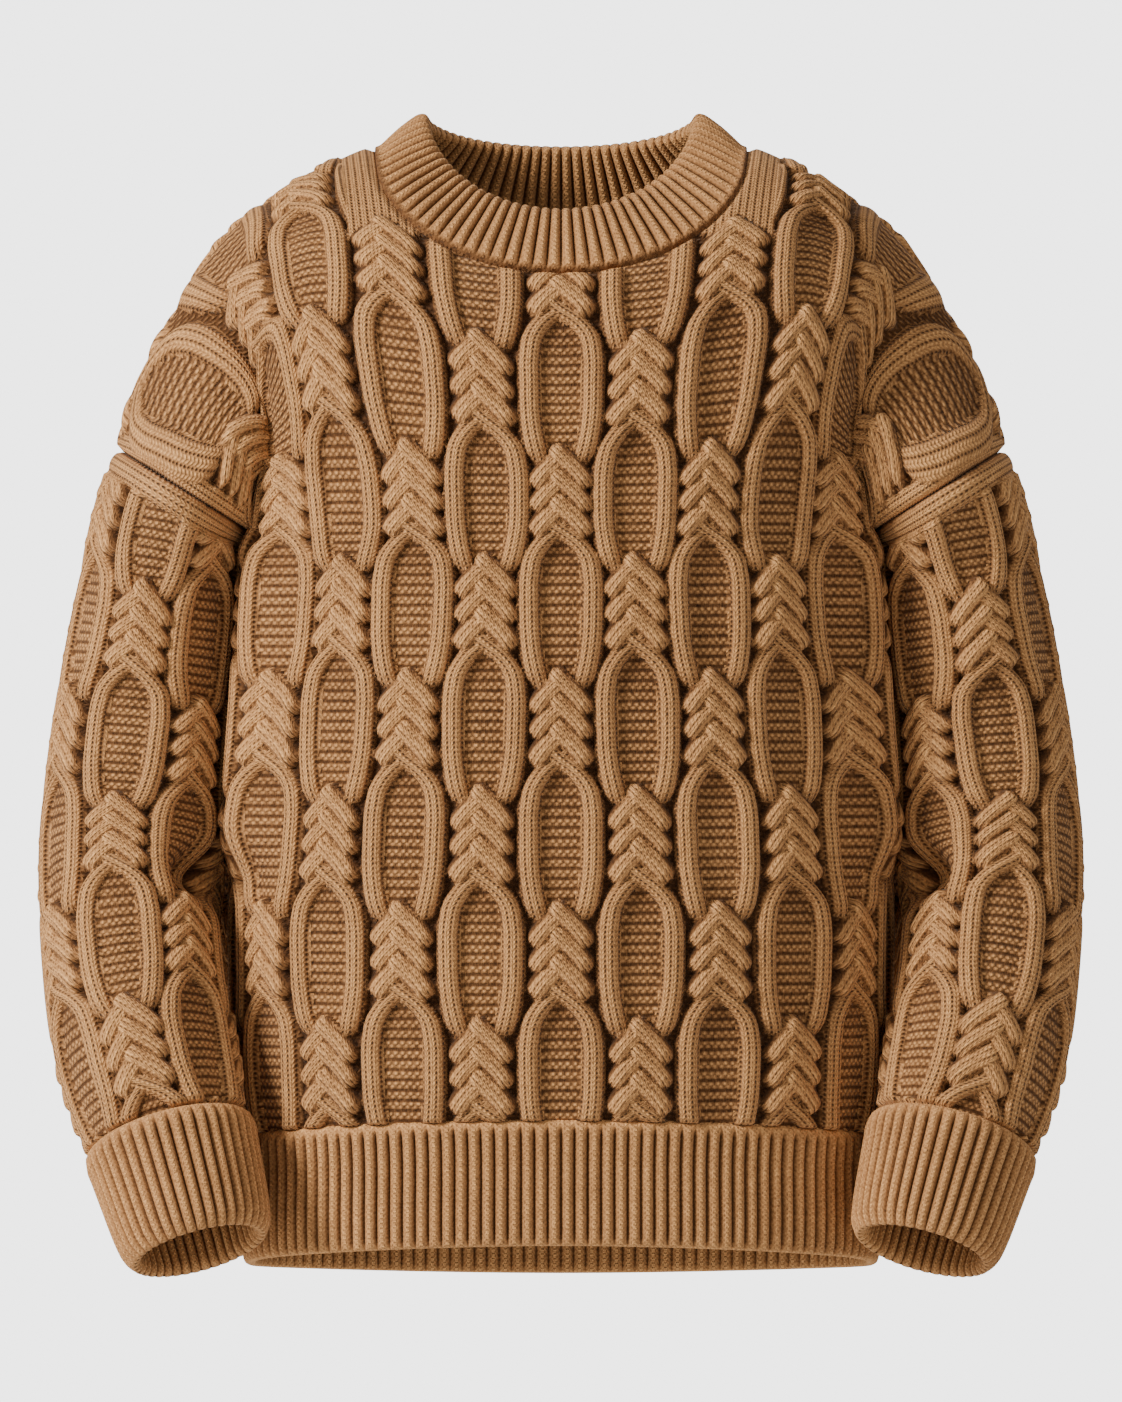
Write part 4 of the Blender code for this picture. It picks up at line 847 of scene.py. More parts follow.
@dataclass
class Panel:
    """The front or the back, eleven cable columns wide."""

    form: BodyForm
    side: Side
    finish: bpy.types.Material
    columns_fine: int = 308
    rows_fine: int = 301
    coarse: int = 7
    seam_fade: float = 0.006
    side_fade: float = 0.004
    edge_width: float = 0.013
    edge_height: float = 0.0045
    edge_lean: float = 0.7
    edge_power: float = 2.5
    edge_margin: float = 1.1
    hem_fade: float = 0.004
    hem_share: float = 0.5
    neck_fade: float = 0.005
    neck_band: float = 0.012
    patch_z: float = -0.036
    patch_foot_z: float = -0.060
    patch_column: float = 2.05
    patch_half_columns: float = 0.42
    patch_height: float = 0.0038
    patch_foot_fade: float = 0.004
    patch_side_fade: float = 0.12
    patch_light: float = 0.85
    lowest_apex: float = 0.079
    closer: float = 0.0155
    closer_outside: float = 0.024
    stretch: float = 0.03
    stretch_from: float = 0.45
    # Where changes come in: start and length, in metres up the panel or in columns from its middle
    closer_rise: tuple = (0.32, 0.15)
    outside_rise: tuple = (0.37, 0.08)
    outside_columns: tuple = (3.4, 0.9)
    upper_rise: tuple = (0.01, 0.06)
    upper_columns: tuple = (3.3, 0.6)
    fill_height: float = 0.0060
    fill_depth: float = 0.030
    fill_share: float = 0.80
    # Painted shade: lightness of the filled stretch below the shoulder, lift of the ground's
    # lightness beside the armhole, and the inner skin's lightness
    fill_light: float = 0.6
    upper_light: float = 0.36
    inner_light: float = 0.4
    last_column: int = 5

    def __post_init__(self) -> None:
        """Sets out the cables, whose columns are half a repeat apart from front to back."""
        phase = 1.0 if self.side is Side.BACK else 0.0
        self.cables = CableField(PATTERN, self.lowest_apex, phase, self.last_column)

    def grid(self, columns: int, rows: int) -> tuple[np.ndarray, np.ndarray]:
        """Returns n and v on a grid from the hem seam to the neck's cut or the shoulder line.

        The rows lie at even heights, and close up in a band below the neck's cut.
        """
        n = np.linspace(-self.form.columns, self.form.columns, columns + 1)
        low = self.form.hem_v(n, self.side)
        shoulder = self.form.top_v(n, self.side)
        cut = self.form.neck_v(n, self.side)
        v = low + np.linspace(0.0, 1.0, rows + 1)[:, None] * (shoulder - low)
        squeezed = cut - self.neck_band * (shoulder - v) / (shoulder - cut + self.neck_band)
        v = np.where(v < cut - self.neck_band, v, squeezed)
        return np.broadcast_to(n, (rows + 1, columns + 1)).copy(), v

    def knitted(self, n: np.ndarray, v: np.ndarray) -> np.ndarray:
        """Returns the height on the pattern, which is knitted a little closer from the chest up."""
        outside = rise_over(np.abs(n), self.outside_columns)
        outer = self.closer_outside * outside * rise_over(v, self.outside_rise)
        closer = self.closer * rise_over(v, self.closer_rise)
        return v + closer + self.stretch * np.maximum(v - self.stretch_from, 0.0) + outer

    def place(self, n: np.ndarray, v: np.ndarray) -> tuple[np.ndarray, np.ndarray]:
        """Returns the ground's points and outward directions, with the rims square to the seams."""
        form = self.form
        ground = form.point(n, v, self.side)
        out = form.normals(n, v, self.side)
        top = form.top_v(n, self.side)
        on_edge = np.abs(n) > form.columns - ON_EDGE
        on_side = on_edge & (v < form.underarm_v - ON_EDGE)
        on_hole = on_edge & ~on_side
        on_top = (v > top - ON_EDGE) & (np.abs(n) > form.neck_column - ON_EDGE)
        share = np.clip((v - form.underarm_v) / (top - form.underarm_v), 0.0, 1.0)
        hole_out = form.armhole(share, self.side)[1]
        flip = np.where(n > 0.0, -1.0, 1.0)
        hole_out = hole_out * np.stack((flip, np.ones_like(flip), np.ones_like(flip)), axis=-1)
        out = np.where(on_hole[..., None], hole_out, out)
        flat = on_side | on_top | (on_hole & (share < ON_EDGE))
        out = np.where(flat[..., None], unit(out * (1.0, 0.0, 1.0)), out)
        on_hem = np.abs(v - form.hem_v(n, self.side)) < ON_EDGE
        out = np.where(on_hem[..., None], unit(out * (1.0, 1.0, 0.0)), out)
        half_gap = 0.5 * GAP * (1.0 if self.side is Side.BACK else -1.0)
        ground[..., 1] = np.where(flat, half_gap, ground[..., 1])
        return ground, out

    def patch(self, n: np.ndarray, v: np.ndarray, layer: np.ndarray) -> np.ndarray:
        """Returns 1 on the plain patch beside the neck, which ends higher on an arm, and 0 off it."""
        foot = np.where(layer >= PATTERN.first_arm, self.patch_z, self.patch_foot_z)
        above = self.form.point(n, v, self.side)[..., 2] - foot
        beside = np.abs(np.abs(n) - self.patch_column) / self.patch_half_columns
        return ramp(above / self.patch_foot_fade) * ramp((1.0 - beside) / self.patch_side_fade)

    def edging(self, n: np.ndarray, v: np.ndarray, pitch: np.ndarray) -> np.ndarray:
        """Returns the place across the armhole's edging strip, 0 to 1, and -1 off it."""
        above = v > self.form.underarm_v
        inside = (self.form.columns - np.abs(n)) * pitch / self.edge_width
        return np.where(above & (inside < 1.0), inside, -1.0)

    def relief(self, n: np.ndarray, v: np.ndarray, pitch: np.ndarray) -> tuple[np.ndarray, ...]:
        """Returns the cables' height, lowered towards the seams, and their painted shade."""
        form = self.form
        height, layer, light = self.cables.choose(n, self.knitted(n, v), pitch)[:3]
        outer = rise_over(v - form.underarm_v, self.upper_rise)
        outer = outer * rise_over(np.abs(n), self.upper_columns)
        # lightens the painted shade of the ground on the outer columns above the underarm
        light = np.where(layer == 0, light + self.upper_light * outer, light)
        near_top = ramp((v - form.top_v(n, self.side) + self.fill_depth) / self.fill_depth)
        near_top = self.fill_share * near_top
        height = height + np.maximum(self.fill_height - height, 0.0) * near_top
        light = light + np.maximum(self.fill_light - light, 0.0) * near_top
        patch = self.patch(n, v, layer)
        height = height + (self.patch_height - height) * patch
        light = light + (self.patch_light - light) * patch
        inside = self.edging(n, v, pitch)
        place = (1.0 + self.edge_lean) * inside - self.edge_lean
        bowed = 1.0 - np.abs(place) ** self.edge_power
        strip = self.edge_height * np.sqrt(np.clip(bowed, 0.0, 1.0))
        strip = np.where(inside >= 0.0, strip, 0.0)
        light = np.where(strip > height, 1.0, light)
        height = np.maximum(height, strip)
        points = form.point(n, v, self.side)
        to_side = (form.columns - np.abs(n)) * pitch / self.side_fade
        to_top = (form.top_v(n, self.side) - v) / self.seam_fade
        to_neck = form.neck_reach(points, self.side) / self.neck_fade
        to_hem = (v - form.hem_v(n, self.side)) / self.hem_fade + self.hem_share
        return height * ramp(np.minimum.reduce((to_side, to_top, to_neck, to_hem))), light

    def build(self) -> bpy.types.Object:
        """Returns:
            The panel's object.
        """
        flipped = self.side is Side.BACK
        cloth = Cloth()
        n, v = self.grid(self.columns_fine, self.rows_fine)
        pitch = self.form.pitch(n, v, self.side)
        ground, out = self.place(n, v)
        height, light = self.relief(n, v, pitch)
        outer = cloth.add_points(ground + out * height[..., None], light)
        faces = quads(outer, flipped)
        stitches, bumps = self.cables.stitches(n, self.knitted(n, v), pitch, faces)
        layer = self.cables.choose(n, self.knitted(n, v), pitch)[1]
        plain = self.patch(n, v, layer).ravel()[faces].mean(axis=1) > 0.5
        even = plain_stitches(n * PATTERN.pitch, v)
        stitches = np.where(plain[:, None, None], even[faces], stitches)
        middle = (part.ravel()[faces].mean(axis=1) for part in (n, v, pitch))
        low = height.ravel()[faces].mean(axis=1) < self.edge_margin * self.edge_height
        edged = (self.edging(*middle) >= 0.0) & low
        trim = plain_stitches((self.form.columns - np.abs(n)) * pitch, v)
        stitches = np.where(edged[:, None, None], trim[faces], stitches)
        cloth.add_faces(faces, stitches, np.where(plain | edged, 0.0, bumps))
        n, v = self.grid(self.columns_fine // self.coarse, self.rows_fine // self.coarse)
        ground, out = self.place(n, v)
        # the inner skin gets one even painted shade
        inner = cloth.add_points(ground - out * WALL, self.inner_light)
        faces = quads(inner, not flipped)
        even = plain_stitches(n * PATTERN.pitch, v)
        cloth.add_faces(faces, even[faces - inner[0, 0]], 1.0)
        edge = rim(border(outer), border(inner), flipped)
        cloth.add_faces(edge, np.zeros((len(edge), 3, 2)), 1.0)
        piece = cloth.build(f"{self.side.value}_panel")
        piece.data.materials.append(self.finish)
        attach(piece, BODY)
        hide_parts(self.side.value)
        shoulder = self.form.top_v(np.array(self.form.neck_column), self.side)
        LOG.info("%s: %d faces", piece.name, len(piece.data.polygons))
        return piece


# ---------------------------------------------------------------- sleeves


@dataclass
class SleeveForm:
    """The ground surface of the -X sleeve: ellipses round a bent axis, and a cap to the armhole."""

    body: BodyForm
    columns: float = 3.5
    middle_deg: float = -60.0
    rings: np.ndarray = field(
        default_factory=lambda: np.array(
            [
                # x, y, z, half_width, half_depth
                (-0.2355, -0.080, -0.600, 0.0435, 0.0435),
                (-0.2505, -0.060, -0.548, 0.0480, 0.0485),
                (-0.2595, -0.034, -0.487, 0.0487, 0.0520),
                (-0.2610, -0.011, -0.426, 0.0500, 0.0550),
                (-0.2560, -0.001, -0.365, 0.0492, 0.0580),
                (-0.2490, 0.003, -0.304, 0.0462, 0.0600),
                (-0.2430, 0.003, -0.262, 0.0435, 0.0615),
            ]
        )
    )
    measured_columns: int = 89
    measured_steps: int = 41
    step_n: float = 0.02
    step_v: float = 0.001
    axis_step: float = 0.004
    pitch_step: float = 0.1
    widest: float = 1.4

    def __post_init__(self) -> None:
        """Measures the axis and the cap."""
        steps = np.linalg.norm(np.diff(self.rings[:, 0:3], axis=0), axis=1)
        self.heights = np.concatenate(((0.0,), np.cumsum(steps)))
        self.cap_v = self.heights[-1]
        columns = np.linspace(-self.columns, self.columns, self.measured_columns)
        n, s = np.meshgrid(columns, np.linspace(0.0, 1.0, self.measured_steps), indexing="ij")
        lengths = np.linalg.norm(np.diff(self.cap(n, s), axis=1), axis=-1).sum(axis=1)
        self.lengths = (columns, lengths)

    def angle(self, n: np.ndarray) -> np.ndarray:
        """Returns the angle round the sleeve, 0 in front and 90 degrees inside."""
        return np.radians(self.middle_deg + n * 180.0 / self.columns)

    def axes(self, v: np.ndarray) -> tuple[np.ndarray, ...]:
        """Returns the axis point, its upward direction and the inward and forward directions."""
        rings = self.rings[:, 0:3]
        centre = smooth(self.heights, rings, v)
        ahead = smooth(self.heights, rings, np.minimum(v + self.axis_step, self.cap_v))
        up = unit(ahead - smooth(self.heights, rings, np.maximum(v - self.axis_step, 0.0)))
        inward = unit(np.array((1.0, 0.0, 0.0)) - up[..., 0:1] * up)
        return centre, up, inward, np.cross(inward, up)

    def sizes(self, v: np.ndarray) -> np.ndarray:
        """Returns half of the width and half of the depth at height v."""
        return smooth(self.heights, self.rings[:, 3:5], v)

    def tube(self, n: np.ndarray, v: np.ndarray) -> np.ndarray:
        """Returns points below the cap, an ellipse round the axis."""
        centre, _, inward, forward = self.axes(v)
        size = self.sizes(v)
        angle = self.angle(n)
        across = size[..., 0:1] * np.sin(angle)[..., None] * inward
        return centre + across + size[..., 1:2] * np.cos(angle)[..., None] * forward

    def armhole(self, n: np.ndarray) -> tuple[np.ndarray, ...]:
        """Returns the armhole seam's points, outward and leaving directions, and speed at n."""
        turn = np.mod(np.degrees(self.angle(n)) - 90.0, 360.0)
        share = 1.0 - np.abs(turn - 180.0) / 180.0
        behind = (turn < 180.0)[..., None]
        front = self.body.armhole(share, Side.FRONT)
        rear = self.body.armhole(share, Side.BACK)
        point, out, leave = (np.where(behind, r, f) for f, r in zip(front[:3], rear[:3]))
        return point, out, leave, front[3]

    def cap(self, n: np.ndarray, s: np.ndarray) -> np.ndarray:
        """Returns points of the cap, a cubic from the topmost ring to the armhole seam."""
        at_cap = np.full(np.shape(n), self.cap_v)
        ring = self.tube(n, at_cap)
        up = self.axes(at_cap)[1]
        point, _, leave, speed = self.armhole(n)
        end = point + leave * GAP
        chord = np.linalg.norm(end - ring, axis=-1, keepdims=True)
        return hermite(np.asarray(s)[..., None], ring, end, up * chord, -leave * speed[..., None])

    def top_v(self, n: np.ndarray) -> np.ndarray:
        """Returns the height of the armhole seam, for n that may run on past the sleeve's seam."""
        around = np.mod(n + self.columns, 2.0 * self.columns) - self.columns
        return self.cap_v + np.interp(around, *self.lengths)

    def point(self, n: np.ndarray, v: np.ndarray) -> np.ndarray:
        """Returns points of the ground surface."""
        s = np.clip((v - self.cap_v) / (self.top_v(n) - self.cap_v), 0.0, 1.0)
        low = self.tube(n, np.minimum(v, self.cap_v))
        return np.where((v <= self.cap_v)[..., None], low, self.cap(n, s))

    def normals(self, n: np.ndarray, v: np.ndarray) -> np.ndarray:
        """Returns outward directions, across times up by small differences."""
        across = self.point(n + self.step_n, v) - self.point(n - self.step_n, v)
        high_v = np.minimum(v + self.step_v, self.top_v(n))
        along = self.point(n, high_v) - self.point(n, np.maximum(v - self.step_v, 0.0))
        return unit(np.cross(across, along))

    def pitch(self, n: np.ndarray, v: np.ndarray) -> np.ndarray:
        """Returns how far apart the columns lie, kept near their knitted pitch."""
        step = self.pitch_step
        reach = np.linalg.norm(self.point(n + step, v) - self.point(n - step, v), axis=-1)
        least = PATTERN.narrowest * PATTERN.pitch
        return np.clip(reach / (2.0 * step), least, self.widest * PATTERN.pitch)


@dataclass
class Sleeve:
    """One sleeve, seven cable columns round."""

    form: SleeveForm
    hand: Hand
    finish: bpy.types.Material
    columns_fine: int = 196
    rows_fine: int = 252
    coarse: int = 7
    seam_fade: float = 0.006
    lowest_apex: float = 0.095
    last_column: int = 3
    cuff_cover: float = 0.0045
    elbow_height: float = 0.165
    elbow_column: float = 2.35
    elbow_depth: float = 0.024
    elbow_half_length: float = 0.018
    elbow_half_columns: float = 0.45
    roll_height: float = 0.0055
    roll_width: float = 0.016
    roll_cover: float = 0.6
    # Painted shade of the roll: low at its edges, and its gain up to its crest
    roll_light: tuple = (0.45, 0.55)
    seam_share: float = 0.3
    # Painted shade of the inner skin
    inner_light: float = 0.4

    def __post_init__(self) -> None:
        """Sets out the cables."""
        self.cables = CableField(PATTERN, self.lowest_apex, 0.0, self.last_column)

    def grid(self, columns: int, rows: int) -> tuple[np.ndarray, np.ndarray]:
        """Returns n and v on a grid from the cuff to the armhole, once round."""
        n = np.linspace(-self.form.columns, self.form.columns, columns + 1)
        s = np.linspace(0.0, 1.0, rows + 1)[:, None]
        return np.broadcast_to(n, (rows + 1, columns + 1)).copy(), s * self.form.top_v(n)

    def place(self, n: np.ndarray, v: np.ndarray) -> tuple[np.ndarray, np.ndarray]:
        """Returns the ground's points and outward directions, square to the armhole and the end."""
        form = self.form
        out = form.normals(n, v)
        on_top = v > form.top_v(n) - ON_EDGE
        out = np.where(on_top[..., None], form.armhole(n)[1], out)
        up = form.axes(np.maximum(v, 0.0))[1]
        square = unit(out - np.sum(out * up, axis=-1, keepdims=True) * up)
        out = np.where((v < ON_EDGE)[..., None], square, out)
        along = (v - self.elbow_height) / self.elbow_half_length
        across = (n - self.elbow_column) / self.elbow_half_columns
        dimple = self.elbow_depth * np.exp(-(along**2) - across**2)
        return form.point(n, v) - out * dimple[..., None], out

    def relief(self, n: np.ndarray, v: np.ndarray, pitch: np.ndarray) -> tuple[np.ndarray, ...]:
        """Returns the cables' height and painted shade, with a knitted roll beside the armhole seam.
        """
        height, _, light = self.cables.choose(n, v, pitch)[:3]
        to_top = self.form.top_v(n) - v
        to_side = (self.form.columns - np.abs(n)) * pitch / self.seam_fade + self.seam_share
        fade = ramp(to_side) * ramp((to_top - self.roll_cover * self.roll_width) / self.seam_fade)
        cables = height * fade * ramp((v - self.cuff_cover) / (0.5 * self.seam_fade))
        place = np.clip(to_top / self.roll_width, 0.0, 1.0)
        roll = self.roll_height * np.sqrt(np.clip(1.0 - (2.0 * place - 1.0) ** 2, 0.0, 1.0))
        # the roll's painted shade, darker towards its edges
        low, gain = self.roll_light
        light = np.where(roll > cables, low + gain * roll / self.roll_height, light)
        return np.maximum(cables, roll), light

    def build(self) -> bpy.types.Object:
        """Returns:
            The sleeve's object.
        """
        mirror = np.array((-self.hand.value, 1.0, 1.0))
        flipped = self.hand is Hand.LEFT
        cloth = Cloth()
        n, v = self.grid(self.columns_fine, self.rows_fine)
        pitch = self.form.pitch(n, v)
        ground, out = self.place(n, v)
        # rise is the painted shade of each point
        height, rise = self.relief(n, v, pitch)
        points = (ground + out * height[..., None]) * mirror
        outer = cloth.add_points(points[:, :-1], rise[:, :-1])
        outer = np.concatenate((outer, outer[:, :1]), axis=1)
        flat_faces = quads(np.arange(n.size).reshape(n.shape), flipped)
        stitches, bumps = self.cables.stitches(n, v, pitch, flat_faces)
        to_top = (self.form.top_v(n) - v).ravel()[flat_faces]
        in_roll = to_top.mean(axis=1) < self.roll_width
        along = (n * pitch).ravel()[flat_faces]
        trim = np.stack((to_top / PATTERN.wale, along / PATTERN.row), axis=-1)
        stitches = np.where(in_roll[:, None, None], trim, stitches)
        bumps = np.where(in_roll, 0.0, bumps)
        cloth.add_faces(quads(outer, flipped), stitches, bumps)
        n, v = self.grid(self.columns_fine // self.coarse, self.rows_fine // self.coarse)
        ground, out = self.place(n, v)
        points = (ground - out * WALL) * mirror
        # the inner skin gets one even painted shade
        inner = cloth.add_points(points[:, :-1], self.inner_light)
        inner = np.concatenate((inner, inner[:, :1]), axis=1)
        flat_faces = quads(np.arange(n.size).reshape(n.shape), not flipped)
        even = plain_stitches(n * PATTERN.pitch, v)
        cloth.add_faces(quads(inner, not flipped), even[flat_faces], 1.0)
        low = rim(outer[0, :-1], inner[0, :-1], flipped)
        high = rim(outer[-1, :-1], inner[-1, :-1], not flipped)
        edge = np.concatenate((low, high))
        cloth.add_faces(edge, np.zeros((len(edge), 3, 2)), 1.0)
        piece = cloth.build(f"sleeve_{self.hand.word}_knit")
        piece.data.materials.append(self.finish)
        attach(piece, BODY)
        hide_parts(f"sleeve_{self.hand.word}")
        length = float(self.form.top_v(np.array(0.0)))
        LOG.info("%s: %d faces", piece.name, len(piece.data.polygons))
        return piece


# ---------------------------------------------------------------- ribbed bands


@dataclass(frozen=True)
class RibStitch:
    """A single rib: one raised knit wale and a narrow sunken purl wale."""

    crest: float = 0.0013
    groove: float = 0.0024
    sharpness: float = 2.6
    wale_share: float = 0.64
    points: int = 8
    row: float = 0.0030
    # Painted shade: lightness on a crest, and how it falls into a groove
    lightest: float = 1.01
    darkening: float = 0.75

    def wave(self, count: np.ndarray) -> np.ndarray:
        """Returns the rise over the band's middle surface, count being the number of ribs passed.

        It is a flat-topped hump, crest - (crest + groove) * |2p|^sharpness, p from -1/2 to 1/2.
        """
        p = np.abs(2.0 * (count - np.round(count)))
        return self.crest - (self.crest + self.groove) * p**self.sharpness

    def lightness(self, wave: np.ndarray, share: np.ndarray) -> np.ndarray:
        """Works out the painted shade of a band's points, darker in the grooves between ribs.

        Args:
            wave: rise over the middle surface.
            share: how strong the ribs are there, from 0 to 1.

        Returns:
            The painted shade, 1 on a crest and 0, dark, in a groove of full strength.
        """
        depth = (self.crest - wave) / (self.crest + self.groove)
        dark = self.lightest * np.clip(share, 0.0, 1.0) * depth**self.darkening
        return self.lightest - dark


def smooth_profile(table: np.ndarray, steps: int, tension: float) -> np.ndarray:
    """Reads a closed profile along a smooth curve.

    Args:
        table: the corners of the profile, one row each.
        steps: points between two corners.
        tension: share of the neighbours' chord that is each corner's speed.

    Returns:
        The points of the cubics through all corners, the last joined to the first.
    """
    after = np.roll(table, -1, axis=0)
    speed = (after - np.roll(table, 1, axis=0)) * tension
    t = (np.arange(steps) / steps)[None, :, None]
    speed_after = np.roll(speed, -1, axis=0)
    curve = hermite(t, table[:, None], after[:, None], speed[:, None], speed_after[:, None])
    return curve.reshape(-1, table.shape[1])


@dataclass
class Band:
    """A ribbed ring: a closed profile carried once round, with ribs across it."""

    finish: bpy.types.Material
    rib: RibStitch = field(default_factory=RibStitch)

    def ring(
        self, name: str, points: np.ndarray, rise: np.ndarray, ribs: int, flipped: bool
    ) -> bpy.types.Object:
        """Makes the ring.

        Args:
            name: the object's name.
            points: grid of places, one row for each point of the profile.
            rise: painted shade of each point, from 0, dark in a groove, to 1 on a crest.
            ribs: ribs all round.
            flipped: whether the faces turn the other way.

        Returns:
            The ring's object.
        """
        cloth = Cloth()
        steps = np.linalg.norm(np.roll(points, -1, axis=0) - points, axis=-1).mean(axis=1)
        along = np.concatenate(((0.0,), np.cumsum(steps)))
        numbers = cloth.add_points(points, rise)
        numbers = np.concatenate((numbers, numbers[:, :1]), axis=1)
        numbers = np.concatenate((numbers, numbers[:1]), axis=0)
        faces = quads(numbers, flipped)
        count = np.arange(points.shape[1] + 1) * ribs / points.shape[1]
        grid_count, grid_along = np.meshgrid(count, along)
        flat = quads(np.arange(grid_count.size).reshape(grid_count.shape), flipped)
        corner = grid_count.ravel()[flat]
        middle = np.round(corner.mean(axis=1))[:, None]
        wale = (corner - middle) / self.rib.wale_share + 0.5
        stitches = np.stack((wale, grid_along.ravel()[flat] / self.rib.row), axis=-1)
        purl = np.abs(corner.mean(axis=1) - middle[:, 0]) > 0.5 * self.rib.wale_share
        cloth.add_faces(faces, stitches, purl.astype(float))
        piece = cloth.build(name)
        piece.data.materials.append(self.finish)
        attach(piece, BODY)
        LOG.info("%s: %d faces", piece.name, len(piece.data.polygons))
        return piece


@dataclass
class HemBand(Band):
    """The ribbed hem, one ring."""

    form: BodyForm = field(default_factory=BodyForm)
    ribs: int = 128
    low_z: float = -0.661
    low_drop_side: float = 0.018
    low_drop_back: float = 0.029
    profile: tuple = (
        # down, out, rib
        (0.000, 0.0022, 0.0),
        (0.030, 0.0042, 0.2),
        (0.100, 0.0044, 1.0),
        (0.300, 0.0040, 1.0),
        (0.500, 0.0038, 1.0),
        (0.700, 0.0036, 1.0),
        (0.900, 0.0034, 1.0),
        (0.975, 0.0026, 0.6),
        (1.000, 0.0000, 0.2),
        (0.985, -0.0034, 0.3),
        (0.900, -0.0040, 0.8),
        (0.500, -0.0040, 0.8),
        (0.000, -0.0040, 0.0),
    )
    steps: int = 3
    tension: float = 0.33
    share_step: float = 0.0005

    def places(self, share: np.ndarray) -> tuple[np.ndarray, np.ndarray]:
        """Returns column coordinates and which points are on the back, once round the body."""
        turn = 4.0 * self.form.columns * np.mod(share, 1.0)
        back = turn > 2.0 * self.form.columns
        return np.where(back, 3.0 * self.form.columns - turn, turn - self.form.columns), back

    def build(self) -> bpy.types.Object:
        """Returns:
            The hem's object.
        """
        form = self.form
        profile = smooth_profile(np.array(self.profile), self.steps, self.tension)
        share = np.arange(self.ribs * self.rib.points) / (self.ribs * self.rib.points)
        n, back = self.places(share)
        turn = np.abs(n) / form.columns
        top = form.hem_z + np.where(back, form.hem_v(n, Side.BACK), form.hem_v(n, Side.FRONT)) - GAP
        rear = self.low_drop_back + (self.low_drop_side - self.low_drop_back) * turn**2
        low = self.low_z - np.where(back, rear, self.low_drop_side * turn**2)
        z = top + (low - top) * profile[:, 0:1]
        ahead, ahead_back = self.places(share + self.share_step)
        behind, behind_back = self.places(share - self.share_step)
        points = self.at(n, back, z)
        along = self.at(ahead, ahead_back, z) - self.at(behind, behind_back, z)
        along = unit(along * (1.0, 1.0, 0.0))
        out = np.stack((along[..., 1], -along[..., 0], np.zeros(z.shape)), axis=-1)
        wave = self.rib.wave(share * self.ribs + 0.5)
        inside = np.where(profile[:, 1:2] < 0.0, -1.0, 1.0)
        height = profile[:, 1:2] + profile[:, 2:3] * wave * inside
        points = points + out * height[..., None]
        # painted shade of the ribs, darker in the grooves
        rise = self.rib.lightness(wave, profile[:, 2:3])
        piece = self.ring("hem_ribbing", points[::-1], rise[::-1], self.ribs, False)
        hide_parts("hem_rib")
        return piece

    def at(self, n: np.ndarray, back: np.ndarray, z: np.ndarray) -> np.ndarray:
        """Returns points of the body's section, front or back, on a grid of columns and heights."""
        grid_n = np.broadcast_to(n, z.shape)
        front = self.form.section(grid_n, z, Side.FRONT)
        return np.where(back[..., None], self.form.section(grid_n, z, Side.BACK), front)


